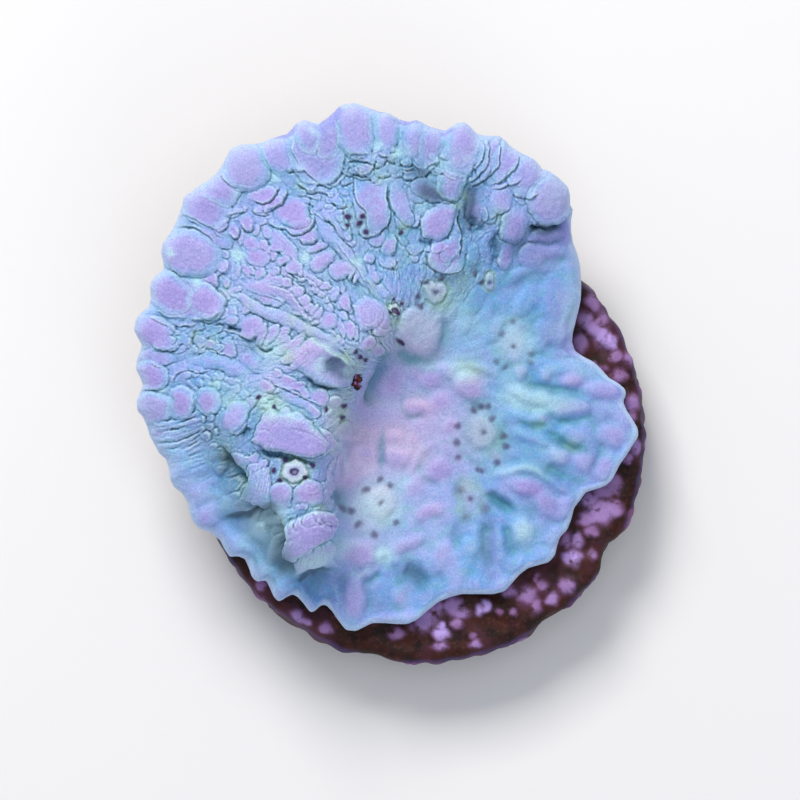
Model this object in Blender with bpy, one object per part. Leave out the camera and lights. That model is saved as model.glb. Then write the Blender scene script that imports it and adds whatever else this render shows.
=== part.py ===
"""A chalice coral colony grown on a round frag disc.

The colony is one leafy plate. Its upper left half is raised like the side of a
chalice: a broad fan with a thick lobed rim, which ends inward in a crest and a cliff.
Below the cliff lies the bowl of the colony, whose thin lower right margin creeps
over the disc. The origin is the centre of the disc's underside, and +Y is the
side of the colony where the rim stands highest.
"""

import math

import bmesh
import bpy
import numpy as np

MM = 0.001

# Frag disc, in millimetres
DISC_DIAMETER = 32.0
DISC_THICKNESS = 6.5
DISC_EDGE_ROUND = 1.1
DISC_EDGE_SEGMENTS = 3
DISC_EDGE_ANGLE = 50.0
DISC_SIDES = 96
# Chips in the disc's edge: direction in degrees, half width in degrees, depth
DISC_CHIPS = [(-31.0, 7.0, 0.8), (-54.0, 6.0, 0.35), (-101.0, 7.0, 0.3), (168.0, 9.0, 0.25)]

# Colony, in millimetres. GAP is the air between two solids that touch.
GAP = 0.3
COLONY_CENTRE = (-0.4, 3.0)
THIN_LIP = 1.2
THICK_LIP = 2.6
LOWEST_RIM = 1.5
HIGHEST_RIM = 8.5
FOOT_INSET = 1.0
FOOT_REACH = 14.2
# How strongly the underside curves in on its way down to the foot
FOOT_CURVE = 1.4

# The colony's outline as seen from above, clockwise from the rim's top: x, y and the
# height of the tissue over the disc's top face.
RIM = [
    (-4.7, 23.3, 8.3), (-5.9, 22.8, 8.2), (-6.8, 21.9, 8.0), (-8.0, 22.0, 8.3), (-8.9, 21.3, 8.2),
    (-10.0, 20.9, 8.3), (-11.2, 20.4, 8.2), (-12.3, 20.4, 8.5), (-13.2, 19.7, 8.5),
    (-13.7, 18.7, 8.3), (-14.3, 17.9, 8.2), (-15.5, 17.2, 8.3), (-16.3, 16.4, 8.3),
    (-16.5, 15.6, 8.2), (-17.2, 14.5, 8.0), (-17.8, 13.7, 8.2), (-18.0, 12.9, 8.2),
    (-17.8, 12.0, 7.9), (-18.4, 11.4, 7.9), (-18.8, 10.6, 7.9), (-18.7, 9.5, 7.6),
    (-19.4, 8.5, 7.6), (-19.9, 7.6, 7.6), (-19.5, 6.5, 7.2), (-19.8, 5.1, 7.0),
    (-19.6, 3.8, 6.8), (-19.8, 2.3, 6.4), (-19.4, 1.2, 6.0), (-18.8, -0.1, 5.4),
    (-17.8, -1.3, 4.9), (-17.4, -2.6, 4.4), (-16.5, -4.0, 3.8), (-16.0, -5.3, 3.3),
    (-15.1, -6.5, 2.8), (-13.9, -7.6, 2.4), (-12.7, -8.5, 2.1), (-11.9, -9.7, 1.9),
    (-11.0, -9.9, 1.8), (-10.1, -11.0, 1.7), (-9.0, -11.2, 1.6), (-7.9, -11.9, 1.6),
    (-7.0, -11.9, 1.6), (-5.9, -12.8, 1.5), (-4.5, -13.5, 1.5), (-2.8, -13.0, 1.5),
    (-1.4, -13.3, 1.5), (-0.6, -12.7, 1.5), (0.1, -11.9, 1.5), (1.5, -11.3, 1.5),
    (2.7, -10.9, 1.5), (4.2, -10.9, 1.5), (5.6, -10.9, 1.5), (6.6, -10.4, 1.5),
    (7.3, -9.4, 1.5), (8.5, -8.9, 1.5), (9.3, -9.0, 1.5), (9.7, -8.3, 1.5),
    (9.8, -7.3, 1.5), (10.5, -6.5, 1.5), (10.8, -5.4, 1.5), (10.7, -4.5, 1.5),
    (11.6, -3.9, 1.5), (12.8, -3.6, 1.5), (13.7, -3.0, 1.5), (14.3, -2.0, 1.5),
    (14.8, -0.9, 1.5), (15.5, 0.1, 1.5), (15.2, 0.9, 1.5), (14.5, 1.8, 1.5),
    (14.7, 3.2, 1.6), (14.1, 3.9, 1.6), (13.2, 4.5, 1.6), (12.3, 5.2, 1.7),
    (11.4, 5.7, 1.8), (10.9, 6.4, 2.0), (10.9, 7.9, 2.3), (11.3, 9.4, 2.6),
    (11.4, 10.8, 3.0), (11.3, 12.0, 3.4), (10.9, 13.4, 4.2), (10.7, 15.0, 5.2),
    (10.6, 15.9, 6.0), (10.5, 17.0, 6.6), (10.1, 17.8, 6.8), (9.1, 18.6, 7.0),
    (8.1, 19.4, 7.2), (7.2, 19.9, 7.3), (6.4, 20.5, 7.4), (5.3, 21.1, 7.5),
    (4.4, 21.2, 7.6), (3.9, 21.6, 7.8), (2.9, 22.0, 8.0), (1.9, 21.4, 7.9),
    (0.8, 21.7, 8.0), (-0.2, 22.2, 8.1), (-1.3, 22.2, 8.1), (-2.2, 22.6, 8.2),
    (-3.7, 23.1, 8.3),
]

# Lines along which the height of the tissue over the disc's top face is set
FAN_GROOVE = [
    (-17.4, 2.6, 6.6), (-17.0, 6.5, 7.2), (-15.3, 8.2, 7.3), (-13.8, 10.3, 7.5),
    (-12.5, 13.8, 7.6), (-11.0, 16.2, 7.7), (-8.3, 18.3, 7.8), (-5.9, 18.3, 7.8),
    (-3.4, 19.0, 7.8), (-0.6, 19.0, 7.7), (1.8, 18.3, 7.5), (4.2, 17.6, 7.1), (6.7, 16.2, 6.6),
]
FAN_MIDDLE = [
    (-14.2, 4.0, 7.7), (-12.5, 8.2, 8.0), (-10.4, 11.0, 8.1), (-7.6, 13.8, 8.3),
    (-4.8, 14.5, 8.3), (-1.3, 16.2, 8.1), (1.4, 15.5, 7.7), (4.1, 15.0, 6.9),
]
INNER_CREST = [
    (9.0, 14.7, 5.6), (6.7, 14.0, 6.0), (4.6, 13.1, 6.4), (2.5, 12.3, 6.7), (0.4, 11.7, 7.0),
    (-1.0, 10.3, 7.5), (-2.2, 7.8, 8.1), (-3.8, 6.1, 8.7), (-4.8, 4.0, 9.0), (-6.0, 1.9, 8.9),
    (-6.2, -0.2, 9.0), (-7.0, -2.3, 8.7), (-6.6, -4.3, 8.5), (-6.2, -6.8, 8.3), (-7.5, -8.9, 7.6),
]
OUTER_CREST = [
    (-15.7, 0.9, 6.6), (-13.5, 0.7, 7.9), (-12.3, -0.9, 8.5), (-12.1, -3.6, 8.3),
    (-10.1, -5.7, 8.1), (-9.0, -8.5, 7.3), (-7.5, -8.9, 7.6),
]
INNER_FOOT = [
    (9.9, 12.3, 4.2), (7.4, 11.9, 4.6), (5.0, 10.3, 5.2), (2.5, 9.5, 5.4), (0.8, 8.8, 5.7),
    (-1.0, 7.2, 5.4), (-1.7, 6.0, 4.8), (-2.9, 3.7, 3.7), (-4.0, 1.6, 3.4), (-4.7, -0.9, 3.3),
    (-5.0, -3.7, 3.1), (-4.7, -6.5, 2.8), (-5.2, -9.4, 2.3), (-7.1, -10.9, 1.9), (-9.5, -10.4, 1.9),
]
OUTER_FOOT = [
    (-17.8, -0.2, 5.4), (-15.0, -1.2, 5.3), (-13.8, -3.0, 5.0), (-13.6, -5.5, 4.0),
    (-11.8, -7.2, 3.0), (-10.4, -9.7, 2.1),
]
HEIGHT_LINES = [FAN_GROOVE, FAN_MIDDLE, INNER_CREST, OUTER_CREST, INNER_FOOT, OUTER_FOOT]

# Single places in the bowl: knobs, polyps and the floor between them
BOWL = [
    (0.1, 7.5, 5.9), (2.5, 7.0, 4.2), (0.1, 4.9, 3.5), (6.7, 6.5, 3.7), (8.9, 7.5, 3.2),
    (9.9, 10.3, 3.7), (7.5, 3.3, 2.9), (3.6, 2.6, 2.9), (-0.6, 1.9, 2.9), (4.6, 0.1, 3.0),
    (-1.3, -0.9, 2.8), (1.5, -2.3, 2.6), (-2.6, -4.8, 3.0), (0.8, -5.8, 2.5), (7.3, -3.7, 3.1),
    (8.5, -2.3, 2.6), (9.9, 0.5, 2.4), (12.8, 1.2, 2.1), (5.7, -7.2, 2.3), (1.5, -8.7, 2.0),
    (-2.8, -10.1, 1.9),
]

# Height map that the colony's top is read from, in millimetres
MAP_STEP = 0.25
MAP_LEFT = -21.0
MAP_FRONT = -15.0
MAP_CELLS = 160
RELAX_STEPS = 1500
SMOOTH_STEPS = 12

# Mesh of the colony: columns round the rim, and rings from the centre out
COLUMNS = 112
TOP_RINGS = 21
UNDER_RINGS = 9
LIP_STEPS = 3

# Finishes: linear colour and roughness
TISSUE_COLOUR = (0.33, 0.35, 0.72)
TISSUE_ROUGHNESS = 0.45
CERAMIC_COLOUR = (0.055, 0.02, 0.016)
CERAMIC_ROUGHNESS = 0.85


def clear_scene():
    for thing in list(bpy.data.objects):
        bpy.data.objects.remove(thing, do_unlink=True)


def make_material(name, colour, roughness):
    material = bpy.data.materials.new(name)
    material.use_nodes = True
    shader = material.node_tree.nodes["Principled BSDF"]
    shader.inputs["Base Color"].default_value = (*colour, 1.0)
    shader.inputs["Roughness"].default_value = roughness
    shader.inputs["Metallic"].default_value = 0.0
    return material


def along(line, step, closed=False):
    """Points every step or so along a line of (x, y, height) points."""
    points = np.array(line + line[:1] if closed else line)
    found = [points[:1]]
    for start, end in zip(points[:-1], points[1:]):
        count = max(1, round(math.dist(start[:2], end[:2]) / step))
        share = np.arange(1, count + 1)[:, None] / count
        found.append(start + share * (end - start))
    return np.concatenate(found)


def neighbour_mean(grid):
    padded = np.pad(grid, 1, mode="edge")
    return (padded[:-2, 1:-1] + padded[2:, 1:-1] + padded[1:-1, :-2] + padded[1:-1, 2:]) / 4


def height_map():
    """Heights over the disc's top, spread evenly between the lines where they are set."""
    rim = along(RIM, MAP_STEP, closed=True)
    known = [rim] + [along(line, MAP_STEP) for line in HEIGHT_LINES] + [np.array(BOWL)]
    known = np.concatenate(known)
    column = np.rint((known[:, 0] - MAP_LEFT) / MAP_STEP).astype(int)
    row = np.rint((known[:, 1] - MAP_FRONT) / MAP_STEP).astype(int)
    total = np.zeros((MAP_CELLS, MAP_CELLS))
    count = np.zeros((MAP_CELLS, MAP_CELLS))
    np.add.at(total, (row, column), known[:, 2])
    np.add.at(count, (row, column), 1)
    fixed = count > 0
    heights = np.full((MAP_CELLS, MAP_CELLS), known[:, 2].mean())
    heights[fixed] = total[fixed] / count[fixed]
    held = heights[fixed]
    for _ in range(RELAX_STEPS):
        heights = neighbour_mean(heights)
        heights[fixed] = held
    for _ in range(SMOOTH_STEPS):
        heights = neighbour_mean(heights)
    return heights


def read_height(heights, x, y):
    """The height at (x, y), blended from the four nearest cells of the map."""
    column = (x - MAP_LEFT) / MAP_STEP
    row = (y - MAP_FRONT) / MAP_STEP
    left = int(column)
    front = int(row)
    right_share = column - left
    back_share = row - front
    near = heights[front, left] * (1 - right_share) + heights[front, left + 1] * right_share
    far = heights[front + 1, left] * (1 - right_share) + heights[front + 1, left + 1] * right_share
    return near * (1 - back_share) + far * back_share


def outline_by_angle():
    """The rim's distance from the colony's centre and its height, one for each column."""
    rim = along(RIM, MAP_STEP, closed=True)
    side = rim[:, :2] - COLONY_CENTRE
    angle = np.arctan2(side[:, 1], side[:, 0])
    order = np.argsort(angle)
    wanted = -math.pi + 2 * math.pi * np.arange(COLUMNS) / COLUMNS
    turn = 2 * math.pi
    reach = np.interp(wanted, angle[order], np.hypot(*side.T)[order], period=turn)
    height = np.interp(wanted, angle[order], rim[order, 2], period=turn)
    return wanted, reach, height


def foot_reach(angle, reach):
    """How far the foot that rests on the disc goes from the colony's centre at an angle."""
    x, y = COLONY_CENTRE
    along_ray = x * math.cos(angle) + y * math.sin(angle)
    to_edge = -along_ray + math.sqrt(along_ray**2 - x * x - y * y + FOOT_REACH**2)
    return min(reach - FOOT_INSET, to_edge)


def colony_profile(heights, angle, reach, rim_height):
    """The (distance, height) points of one column: over the top, round the lip, under to the foot."""
    share = (rim_height - LOWEST_RIM) / (HIGHEST_RIM - LOWEST_RIM)
    lip = THIN_LIP + (THICK_LIP - THIN_LIP) * max(0.0, share)
    round_off = lip / 2
    foot = foot_reach(angle, reach)
    points = []
    for ring in range(1, TOP_RINGS + 1):
        distance = (reach - round_off) * ring / TOP_RINGS
        x = COLONY_CENTRE[0] + distance * math.cos(angle)
        y = COLONY_CENTRE[1] + distance * math.sin(angle)
        points.append((distance, read_height(heights, x, y)))
    top_of_lip = points[-1][1]
    middle = max(top_of_lip - round_off, GAP + round_off)
    for step in range(1, LIP_STEPS + 1):
        turn = math.pi * step / (LIP_STEPS + 1)
        over = reach - round_off + round_off * math.sin(turn)
        points.append((over, middle + round_off * math.cos(turn)))
    under_lip = middle - round_off
    start = reach - round_off
    for ring in range(UNDER_RINGS + 1):
        share = ring / UNDER_RINGS
        distance = start + (foot - start) * share
        points.append((distance, GAP + (under_lip - GAP) * (1 - share) ** FOOT_CURVE))
    return points


def add_object(name, mesh, material):
    thing = bpy.data.objects.new(name, mesh)
    bpy.context.scene.collection.objects.link(thing)
    mesh.materials.append(material)
    return thing


def make_colony():
    heights = height_map()
    angles, reaches, rim_heights = outline_by_angle()
    shape = bmesh.new()
    base = DISC_THICKNESS
    columns = []
    for angle, reach, rim_height in zip(angles, reaches, rim_heights):
        column = []
        for distance, height in colony_profile(heights, angle, reach, rim_height):
            x = COLONY_CENTRE[0] + distance * math.cos(angle)
            y = COLONY_CENTRE[1] + distance * math.sin(angle)
            column.append(shape.verts.new((x * MM, y * MM, (base + height) * MM)))
        columns.append(column)
    top = read_height(heights, *COLONY_CENTRE)
    centre_top = shape.verts.new((COLONY_CENTRE[0] * MM, COLONY_CENTRE[1] * MM, (base + top) * MM))
    centre_foot = shape.verts.new((COLONY_CENTRE[0] * MM, COLONY_CENTRE[1] * MM, (base + GAP) * MM))
    for here, beside in zip(columns, columns[1:] + columns[:1]):
        shape.faces.new((centre_top, here[0], beside[0]))
        for near, far, far_beside, near_beside in zip(here, here[1:], beside[1:], beside):
            shape.faces.new((near, far, far_beside, near_beside))
        shape.faces.new((here[-1], centre_foot, beside[-1]))
    bmesh.ops.recalc_face_normals(shape, faces=shape.faces)
    mesh = bpy.data.meshes.new("coral_colony")
    shape.to_mesh(mesh)
    shape.free()
    tissue = make_material("coral_tissue", TISSUE_COLOUR, TISSUE_ROUGHNESS)
    return add_object("coral_colony", mesh, tissue)


def disc_radius(angle_degrees):
    """The disc's radius in a direction, less the chips in its edge."""
    radius = DISC_DIAMETER / 2
    for direction, half_width, depth in DISC_CHIPS:
        away = abs((angle_degrees - direction + 180) % 360 - 180)
        if away < half_width:
            radius -= depth * (1 + math.cos(math.pi * away / half_width)) / 2
    return radius


def make_disc():
    shape = bmesh.new()
    outline = []
    for side in range(DISC_SIDES):
        degrees = 360 * side / DISC_SIDES
        radius = disc_radius(degrees)
        turn = math.radians(degrees)
        outline.append(shape.verts.new((radius * math.cos(turn) * MM, radius * math.sin(turn) * MM, 0)))
    floor = shape.faces.new(outline)
    raised = bmesh.ops.extrude_face_region(shape, geom=[floor])["geom"]
    bmesh.ops.translate(
        shape,
        verts=[part for part in raised if isinstance(part, bmesh.types.BMVert)],
        vec=(0, 0, DISC_THICKNESS * MM),
    )
    bmesh.ops.recalc_face_normals(shape, faces=shape.faces)
    mesh = bpy.data.meshes.new("frag_disc")
    shape.to_mesh(mesh)
    shape.free()
    ceramic = make_material("frag_disc_ceramic", CERAMIC_COLOUR, CERAMIC_ROUGHNESS)
    disc = add_object("frag_disc", mesh, ceramic)
    edge = disc.modifiers.new("edge_round", "BEVEL")
    edge.width = DISC_EDGE_ROUND * MM
    edge.segments = DISC_EDGE_SEGMENTS
    edge.limit_method = "ANGLE"
    edge.angle_limit = math.radians(DISC_EDGE_ANGLE)
    return disc


def main():
    clear_scene()
    make_disc()
    make_colony()


main()
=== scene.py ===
# %% [markdown]
# # A chalice coral on its frag disc
#
# A chalice coral is a leafy stony coral: one thin limestone plate with a skin of living
# tissue. This one is a cutting, a "frag", that has grown over a round cast disc. Seen from
# above, its upper left half is a raised fan with a thick lobed rim, and the rest is a bowl
# with a thin margin that creeps over the disc.
#
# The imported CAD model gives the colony's big form and the disc. This script grows the fine
# relief of the tissue on that form, and gives every surface its finish.

# %% Load the frame
import math

import bpy
import numpy as np
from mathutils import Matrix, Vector
from mathutils.bvhtree import BVHTree


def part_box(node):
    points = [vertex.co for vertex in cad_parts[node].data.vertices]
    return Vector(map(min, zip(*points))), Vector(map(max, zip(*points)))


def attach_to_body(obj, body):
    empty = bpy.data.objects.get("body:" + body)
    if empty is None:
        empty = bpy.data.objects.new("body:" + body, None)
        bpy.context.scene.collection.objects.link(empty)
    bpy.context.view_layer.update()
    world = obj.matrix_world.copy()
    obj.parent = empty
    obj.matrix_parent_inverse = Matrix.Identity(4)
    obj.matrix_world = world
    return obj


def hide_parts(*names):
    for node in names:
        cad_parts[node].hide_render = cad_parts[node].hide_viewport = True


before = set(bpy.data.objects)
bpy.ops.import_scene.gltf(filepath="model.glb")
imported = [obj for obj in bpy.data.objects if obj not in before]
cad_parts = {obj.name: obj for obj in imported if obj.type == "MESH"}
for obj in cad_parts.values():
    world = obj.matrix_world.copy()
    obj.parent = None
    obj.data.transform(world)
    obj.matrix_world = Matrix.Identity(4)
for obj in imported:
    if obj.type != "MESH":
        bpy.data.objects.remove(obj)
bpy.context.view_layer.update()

# %% [markdown]
# ## Sizes and places
#
# Lengths here are millimetres until a mesh is made. The photograph looks straight down, so
# a place on the colony can be named by its pixel in the 800 by 800 frame. A tall place is
# nearer the camera than the disc and looks larger, and `place` takes that into account.

# %% Turn a photograph place into millimetres
MM = 0.001
DISC_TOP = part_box("frag_disc")[1].z / MM
PIXEL = 0.0708
CAMERA_AWAY = 500.0
PHOTO_MIDDLE = 400.0
DISC_MIDDLE_X = 419.0
DISC_MIDDLE_Y = 437.0
VIEW_X = (PHOTO_MIDDLE - DISC_MIDDLE_X) * PIXEL
VIEW_Y = (DISC_MIDDLE_Y - PHOTO_MIDDLE) * PIXEL


def place(across, down, height):
    """Millimetres from the disc's axis for a photograph pixel at a height over the disc's top."""
    step = PIXEL * (1 - height / CAMERA_AWAY)
    return VIEW_X + (across - PHOTO_MIDDLE) * step, VIEW_Y - (down - PHOTO_MIDDLE) * step


print("disc top at", round(DISC_TOP, 2), "mm; the view's middle is at", VIEW_X, VIEW_Y)

# %% [markdown]
# ## Reading the colony's form from the CAD solid
#
# The CAD colony is a plain solid with flat facets about a millimetre wide. Rays cast down
# and up at it give the height of its top and its underside for a fan of directions round
# one centre. A light blur takes the facets away, and what is left is the smooth plate that
# the tissue grows on.

# %% Measure the solid with rays
COLONY_CENTRE = (-0.4, 3.0)
DIRECTIONS = 360
RADIAL_SAMPLES = 72
FAR = 30.0
ALWAYS_INSIDE = 8.0
HALVINGS = 14

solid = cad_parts["coral_colony"].data
solid_points = [vertex.co / MM for vertex in solid.vertices]
solid_tree = BVHTree.FromPolygons(solid_points, [face.vertices[:] for face in solid.polygons])
direction = 2 * math.pi * np.arange(DIRECTIONS) / DIRECTIONS


def solid_height(x, y, from_above=True):
    """Height of the solid's top or underside over the disc's top, or None beside it."""
    start = FAR if from_above else -FAR
    hit = solid_tree.ray_cast(Vector((x, y, start)), Vector((0, 0, -1 if from_above else 1)))
    return None if hit[0] is None else hit[0].z - DISC_TOP


def on_ray(turn, distance):
    """The point at a distance from the colony's centre in a direction."""
    return (
        COLONY_CENTRE[0] + distance * math.cos(turn),
        COLONY_CENTRE[1] + distance * math.sin(turn),
    )


def rim_distance(turn):
    """How far the solid reaches in a direction, found by halving the doubtful stretch."""
    inside, outside = ALWAYS_INSIDE, FAR
    for _ in range(HALVINGS):
        middle = (inside + outside) / 2
        if solid_height(*on_ray(turn, middle)) is None:
            outside = middle
        else:
            inside = middle
    return inside


reach = np.array([rim_distance(turn) for turn in direction])
print("rim from", reach.min().round(2), "to", reach.max().round(2), "mm from the centre")

# %% [markdown]
# The plate's edge is a round lip. Its radius is half the plate's thickness a little inside
# the rim. The lip could be part of the height grid, but a grid over a flat plan can't
# show a face that turns under, so here only its radius is kept, and the web rounds it later.

# %% Read both faces and smooth the facets away
INWARD = 1.4
THINNEST_LIP = 0.5
THICKEST_LIP = 1.3
RIM_BLUR = 1.3
LIP_BLUR = 4


def blur(grid, sigma_rows, sigma_columns, wrap_rows=False):
    """A Gaussian blur, first down the grid's rows and then along them."""
    out = grid
    for axis, sigma in ((0, sigma_rows), (1, sigma_columns)):
        if sigma <= 0:
            continue
        half = max(1, int(3 * sigma))
        bell = np.exp(-0.5 * (np.arange(-half, half + 1) / sigma) ** 2)
        bell /= bell.sum()
        mode = "wrap" if axis == 0 and wrap_rows else "edge"
        pad = [(half, half) if a == axis else (0, 0) for a in (0, 1)]
        wide = np.pad(out, pad, mode=mode)
        length = out.shape[axis]
        total = np.zeros_like(out)
        for k, weight in enumerate(bell):
            total += weight * (wide[k : k + length] if axis == 0 else wide[:, k : k + length])
        out = total
    return out


reach = blur(reach[:, None], RIM_BLUR, 0, wrap_rows=True)[:, 0]
share = np.linspace(0, 1, RADIAL_SAMPLES)
lip = np.empty(DIRECTIONS)
top_form = np.empty((DIRECTIONS, RADIAL_SAMPLES))
under_form = np.empty((DIRECTIONS, RADIAL_SAMPLES))
for row, turn in enumerate(direction):
    spot = on_ray(turn, reach[row] - INWARD)
    thickness = solid_height(*spot) - solid_height(*spot, from_above=False)
    lip[row] = np.clip(thickness / 2, THINNEST_LIP, THICKEST_LIP)
lip = blur(lip[:, None], LIP_BLUR, 0, wrap_rows=True)[:, 0]
for row, turn in enumerate(direction):
    for column, part in enumerate(share):
        spot = on_ray(turn, part * (reach[row] - lip[row]))
        top_form[row, column] = solid_height(*spot)
        under_form[row, column] = solid_height(*spot, from_above=False)
top_form = blur(top_form, 2.0, 1.6, wrap_rows=True)
under_form = blur(under_form, 2.0, 1.0, wrap_rows=True)
print("tissue from", top_form.min().round(2), "to", top_form.max().round(2), "mm over the disc")

# %% [markdown]
# Every later step asks how high the smooth plate is at some place, or where on it a pixel of
# the photograph lies. The camera looks down past tall tissue, so a pixel's place depends on
# its height, and that on its place: three rounds of guessing settle it.

# %% Look up the smooth form anywhere
def polar_lookup(table, turn, part):
    """A value of a direction by share table, blended from its four nearest entries."""
    row = np.mod(turn, 2 * math.pi) / (2 * math.pi) * DIRECTIONS
    low = np.floor(row).astype(int)
    row_part = row - low
    low %= DIRECTIONS
    high = (low + 1) % DIRECTIONS
    if table.ndim == 1:
        return table[low] * (1 - row_part) + table[high] * row_part
    column = np.clip(part, 0, 1) * (RADIAL_SAMPLES - 1)
    left = np.minimum(np.floor(column).astype(int), RADIAL_SAMPLES - 2)
    column_part = column - left
    near = table[low, left] * (1 - column_part) + table[low, left + 1] * column_part
    far = table[high, left] * (1 - column_part) + table[high, left + 1] * column_part
    return near * (1 - row_part) + far * row_part


def form_height(x, y):
    """Height of the smooth plate's top over the disc's top."""
    turn = np.arctan2(y - COLONY_CENTRE[1], x - COLONY_CENTRE[0])
    distance = np.hypot(x - COLONY_CENTRE[0], y - COLONY_CENTRE[1])
    flat = polar_lookup(reach, turn, None) - polar_lookup(lip, turn, None)
    return polar_lookup(top_form, turn, distance / flat)


MIDDLE_HEIGHT = 5.0
GUESSES = 3


def spot_of(across, down):
    """Where a photograph pixel lies on the map, in millimetres; the lip is rolled out flat."""
    x, y = place(across, down, MIDDLE_HEIGHT)
    for _ in range(GUESSES):
        x, y = place(across, down, float(form_height(np.float64(x), np.float64(y))))
    turn = math.atan2(y - COLONY_CENTRE[1], x - COLONY_CENTRE[0])
    away = math.hypot(x - COLONY_CENTRE[0], y - COLONY_CENTRE[1])
    round_lip = float(polar_lookup(lip, np.float64(turn), None))
    flat = float(polar_lookup(reach, np.float64(turn), None)) - round_lip
    if away > flat:
        away = flat + round_lip * math.asin(min(1.0, (away - flat) / round_lip))
    return on_ray(turn, away)

# %% [markdown]
# ## A map of the relief
#
# The tissue's relief is drawn on a flat map of the colony, like the height map of a
# landscape: each lobe, scale, ridge and polyp is one stamp on it. Beside the height, the
# map keeps what a place is, such as the crown of a lobe or a polyp's dark spot, because
# the colours follow those. One cell is 0.05 mm, finer than a pixel of the photograph.

# %% Make the empty map
CELL = 0.05
MAP_LEFT = -22.5
MAP_FRONT = -16.0
MAP_COLUMNS = 800
MAP_ROWS = 840
map_x, map_y = np.meshgrid(
    MAP_LEFT + CELL * np.arange(MAP_COLUMNS), MAP_FRONT + CELL * np.arange(MAP_ROWS)
)
LAYERS = (
    "height", "crown", "pink", "warm_and_painted_light", "violet_and_painted_shade", "pale_and_highlight", "eye", "glow", "teal_tint_and_shade", "dot", "shade",
)
layers = {name: np.zeros((MAP_ROWS, MAP_COLUMNS)) for name in LAYERS}
chance = np.random.default_rng(20)
print("map of", MAP_COLUMNS, "by", MAP_ROWS, "cells")


def window(x_low, x_high, y_low, y_high):
    """The part of the map inside a box, as slices."""
    left = max(0, int((x_low - MAP_LEFT) / CELL))
    right = min(MAP_COLUMNS, int((x_high - MAP_LEFT) / CELL) + 2)
    front = max(0, int((y_low - MAP_FRONT) / CELL))
    back = min(MAP_ROWS, int((y_high - MAP_FRONT) / CELL) + 2)
    return slice(front, back), slice(left, right)


def window_round(x, y, half):
    """The square of the map round a point, and how far its cells lie from the point."""
    part = window(x - half, x + half, y - half, y + half)
    return part, map_x[part] - x, map_y[part] - y


def smooth_step(value, low, high):
    """0 below low and 1 above high, with a soft rise between."""
    part = np.clip((value - low) / (high - low), 0, 1)
    return part * part * (3 - 2 * part)


def raise_to(layer, part, value):
    """Lifts a layer of the map to a value wherever it is lower."""
    kept = layers[layer][part]
    np.copyto(kept, np.maximum(kept, value))

# %% [markdown]
# The fan's ground isn't smooth. It is shingled with scales about half a millimetre wide,
# laid like roof tiles: each one rises towards the middle of the colony and ends there in a
# free edge. The bowl and the low margin are smoother, with soft ribs that run to the edge.
#
# A Voronoi texture would give cells too, but ones that lie flat side by side. Here each cell
# has its own seed, and the seed that is farthest out covers its neighbours, so they overlap.

# %% Overlapping scales
# a scale's outline lies between an ellipse, which is 2, and a box
SQUARED_OFF = 2.4
NOT_COVERED = -99.0


def shingles(outward, sideways, jitter):
    """Scales in rows: each place's height on its scale, and how near its scale's middle it is."""
    column = np.floor(outward).astype(int)
    row = np.floor(sideways).astype(int)
    order = np.full(outward.shape, NOT_COVERED)
    rise = np.zeros(outward.shape)
    middle = np.zeros(outward.shape)
    for step_column in (-1, 0, 1):
        for step_row in (-1, 0, 1):
            c = (column + step_column) % jitter.shape[0]
            r = (row + step_row) % jitter.shape[1]
            seed_out = column + step_column + 0.5 + jitter[c, r, 0]
            seed_side = row + step_row + 0.5 + jitter[c, r, 1]
            size = 1 + 0.5 * jitter[c, r, 2]
            u = (outward - seed_out) / (0.78 * size)
            v = (sideways - seed_side) / (0.66 * size)
            q = (np.abs(u) ** SQUARED_OFF + np.abs(v) ** SQUARED_OFF) ** (1 / SQUARED_OFF)
            on_top = (q < 1) & (seed_out > order)
            order[on_top] = seed_out[on_top]
            free = 0.5 - 0.5 * u
            rise[on_top] = (np.sqrt(np.clip(1 - q**5, 0, 1)) * (0.3 + 0.7 * free))[on_top]
            middle[on_top] = (1 - q**2)[on_top]
    return rise, middle

# %% [markdown]
# Rows of scales that run dead straight look printed. Soft noise bends them, and gives the
# ground its slow swells. It is drawn on a coarse grid of random numbers and read smoothly
# between them.

# %% Soft noise
def soft_noise(size):
    """Smooth noise about -1 to 1 on the map, with features of a size in millimetres."""
    coarse = 0.25 * size
    rows = int(MAP_ROWS * CELL / coarse) + 6
    columns = int(MAP_COLUMNS * CELL / coarse) + 6
    lumps = blur(chance.standard_normal((rows, columns)), 1.2, 1.2)
    lumps /= lumps.std() * 1.7
    y = (map_y - MAP_FRONT) / coarse + 2
    x = (map_x - MAP_LEFT) / coarse + 2
    row = y.astype(int)
    column = x.astype(int)
    row_part = y - row
    column_part = x - column
    row_part = row_part * row_part * (3 - 2 * row_part)
    column_part = column_part * column_part * (3 - 2 * column_part)
    near = lumps[row, column] * (1 - column_part) + lumps[row, column + 1] * column_part
    far = lumps[row + 1, column] * (1 - column_part) + lumps[row + 1, column + 1] * column_part
    return near * (1 - row_part) + far * row_part

# %% [markdown]
# The scales lie in rings round the fan's origin, a point near the crest from which the fan
# has grown. How high the solid stands tells fan from bowl, and the scales stop before the
# rim, where the lobes begin.

# %% Lay the ground
SCALE_LONG = 0.62
SCALE_WIDE = 0.50
RIB_SPACING = 1.5
FAN_ORIGIN = (-1.0, 4.5)
# distances round the fan are measured at this radius
MIDDLE_RADIUS = 12.0
JITTER = 0.36
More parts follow.
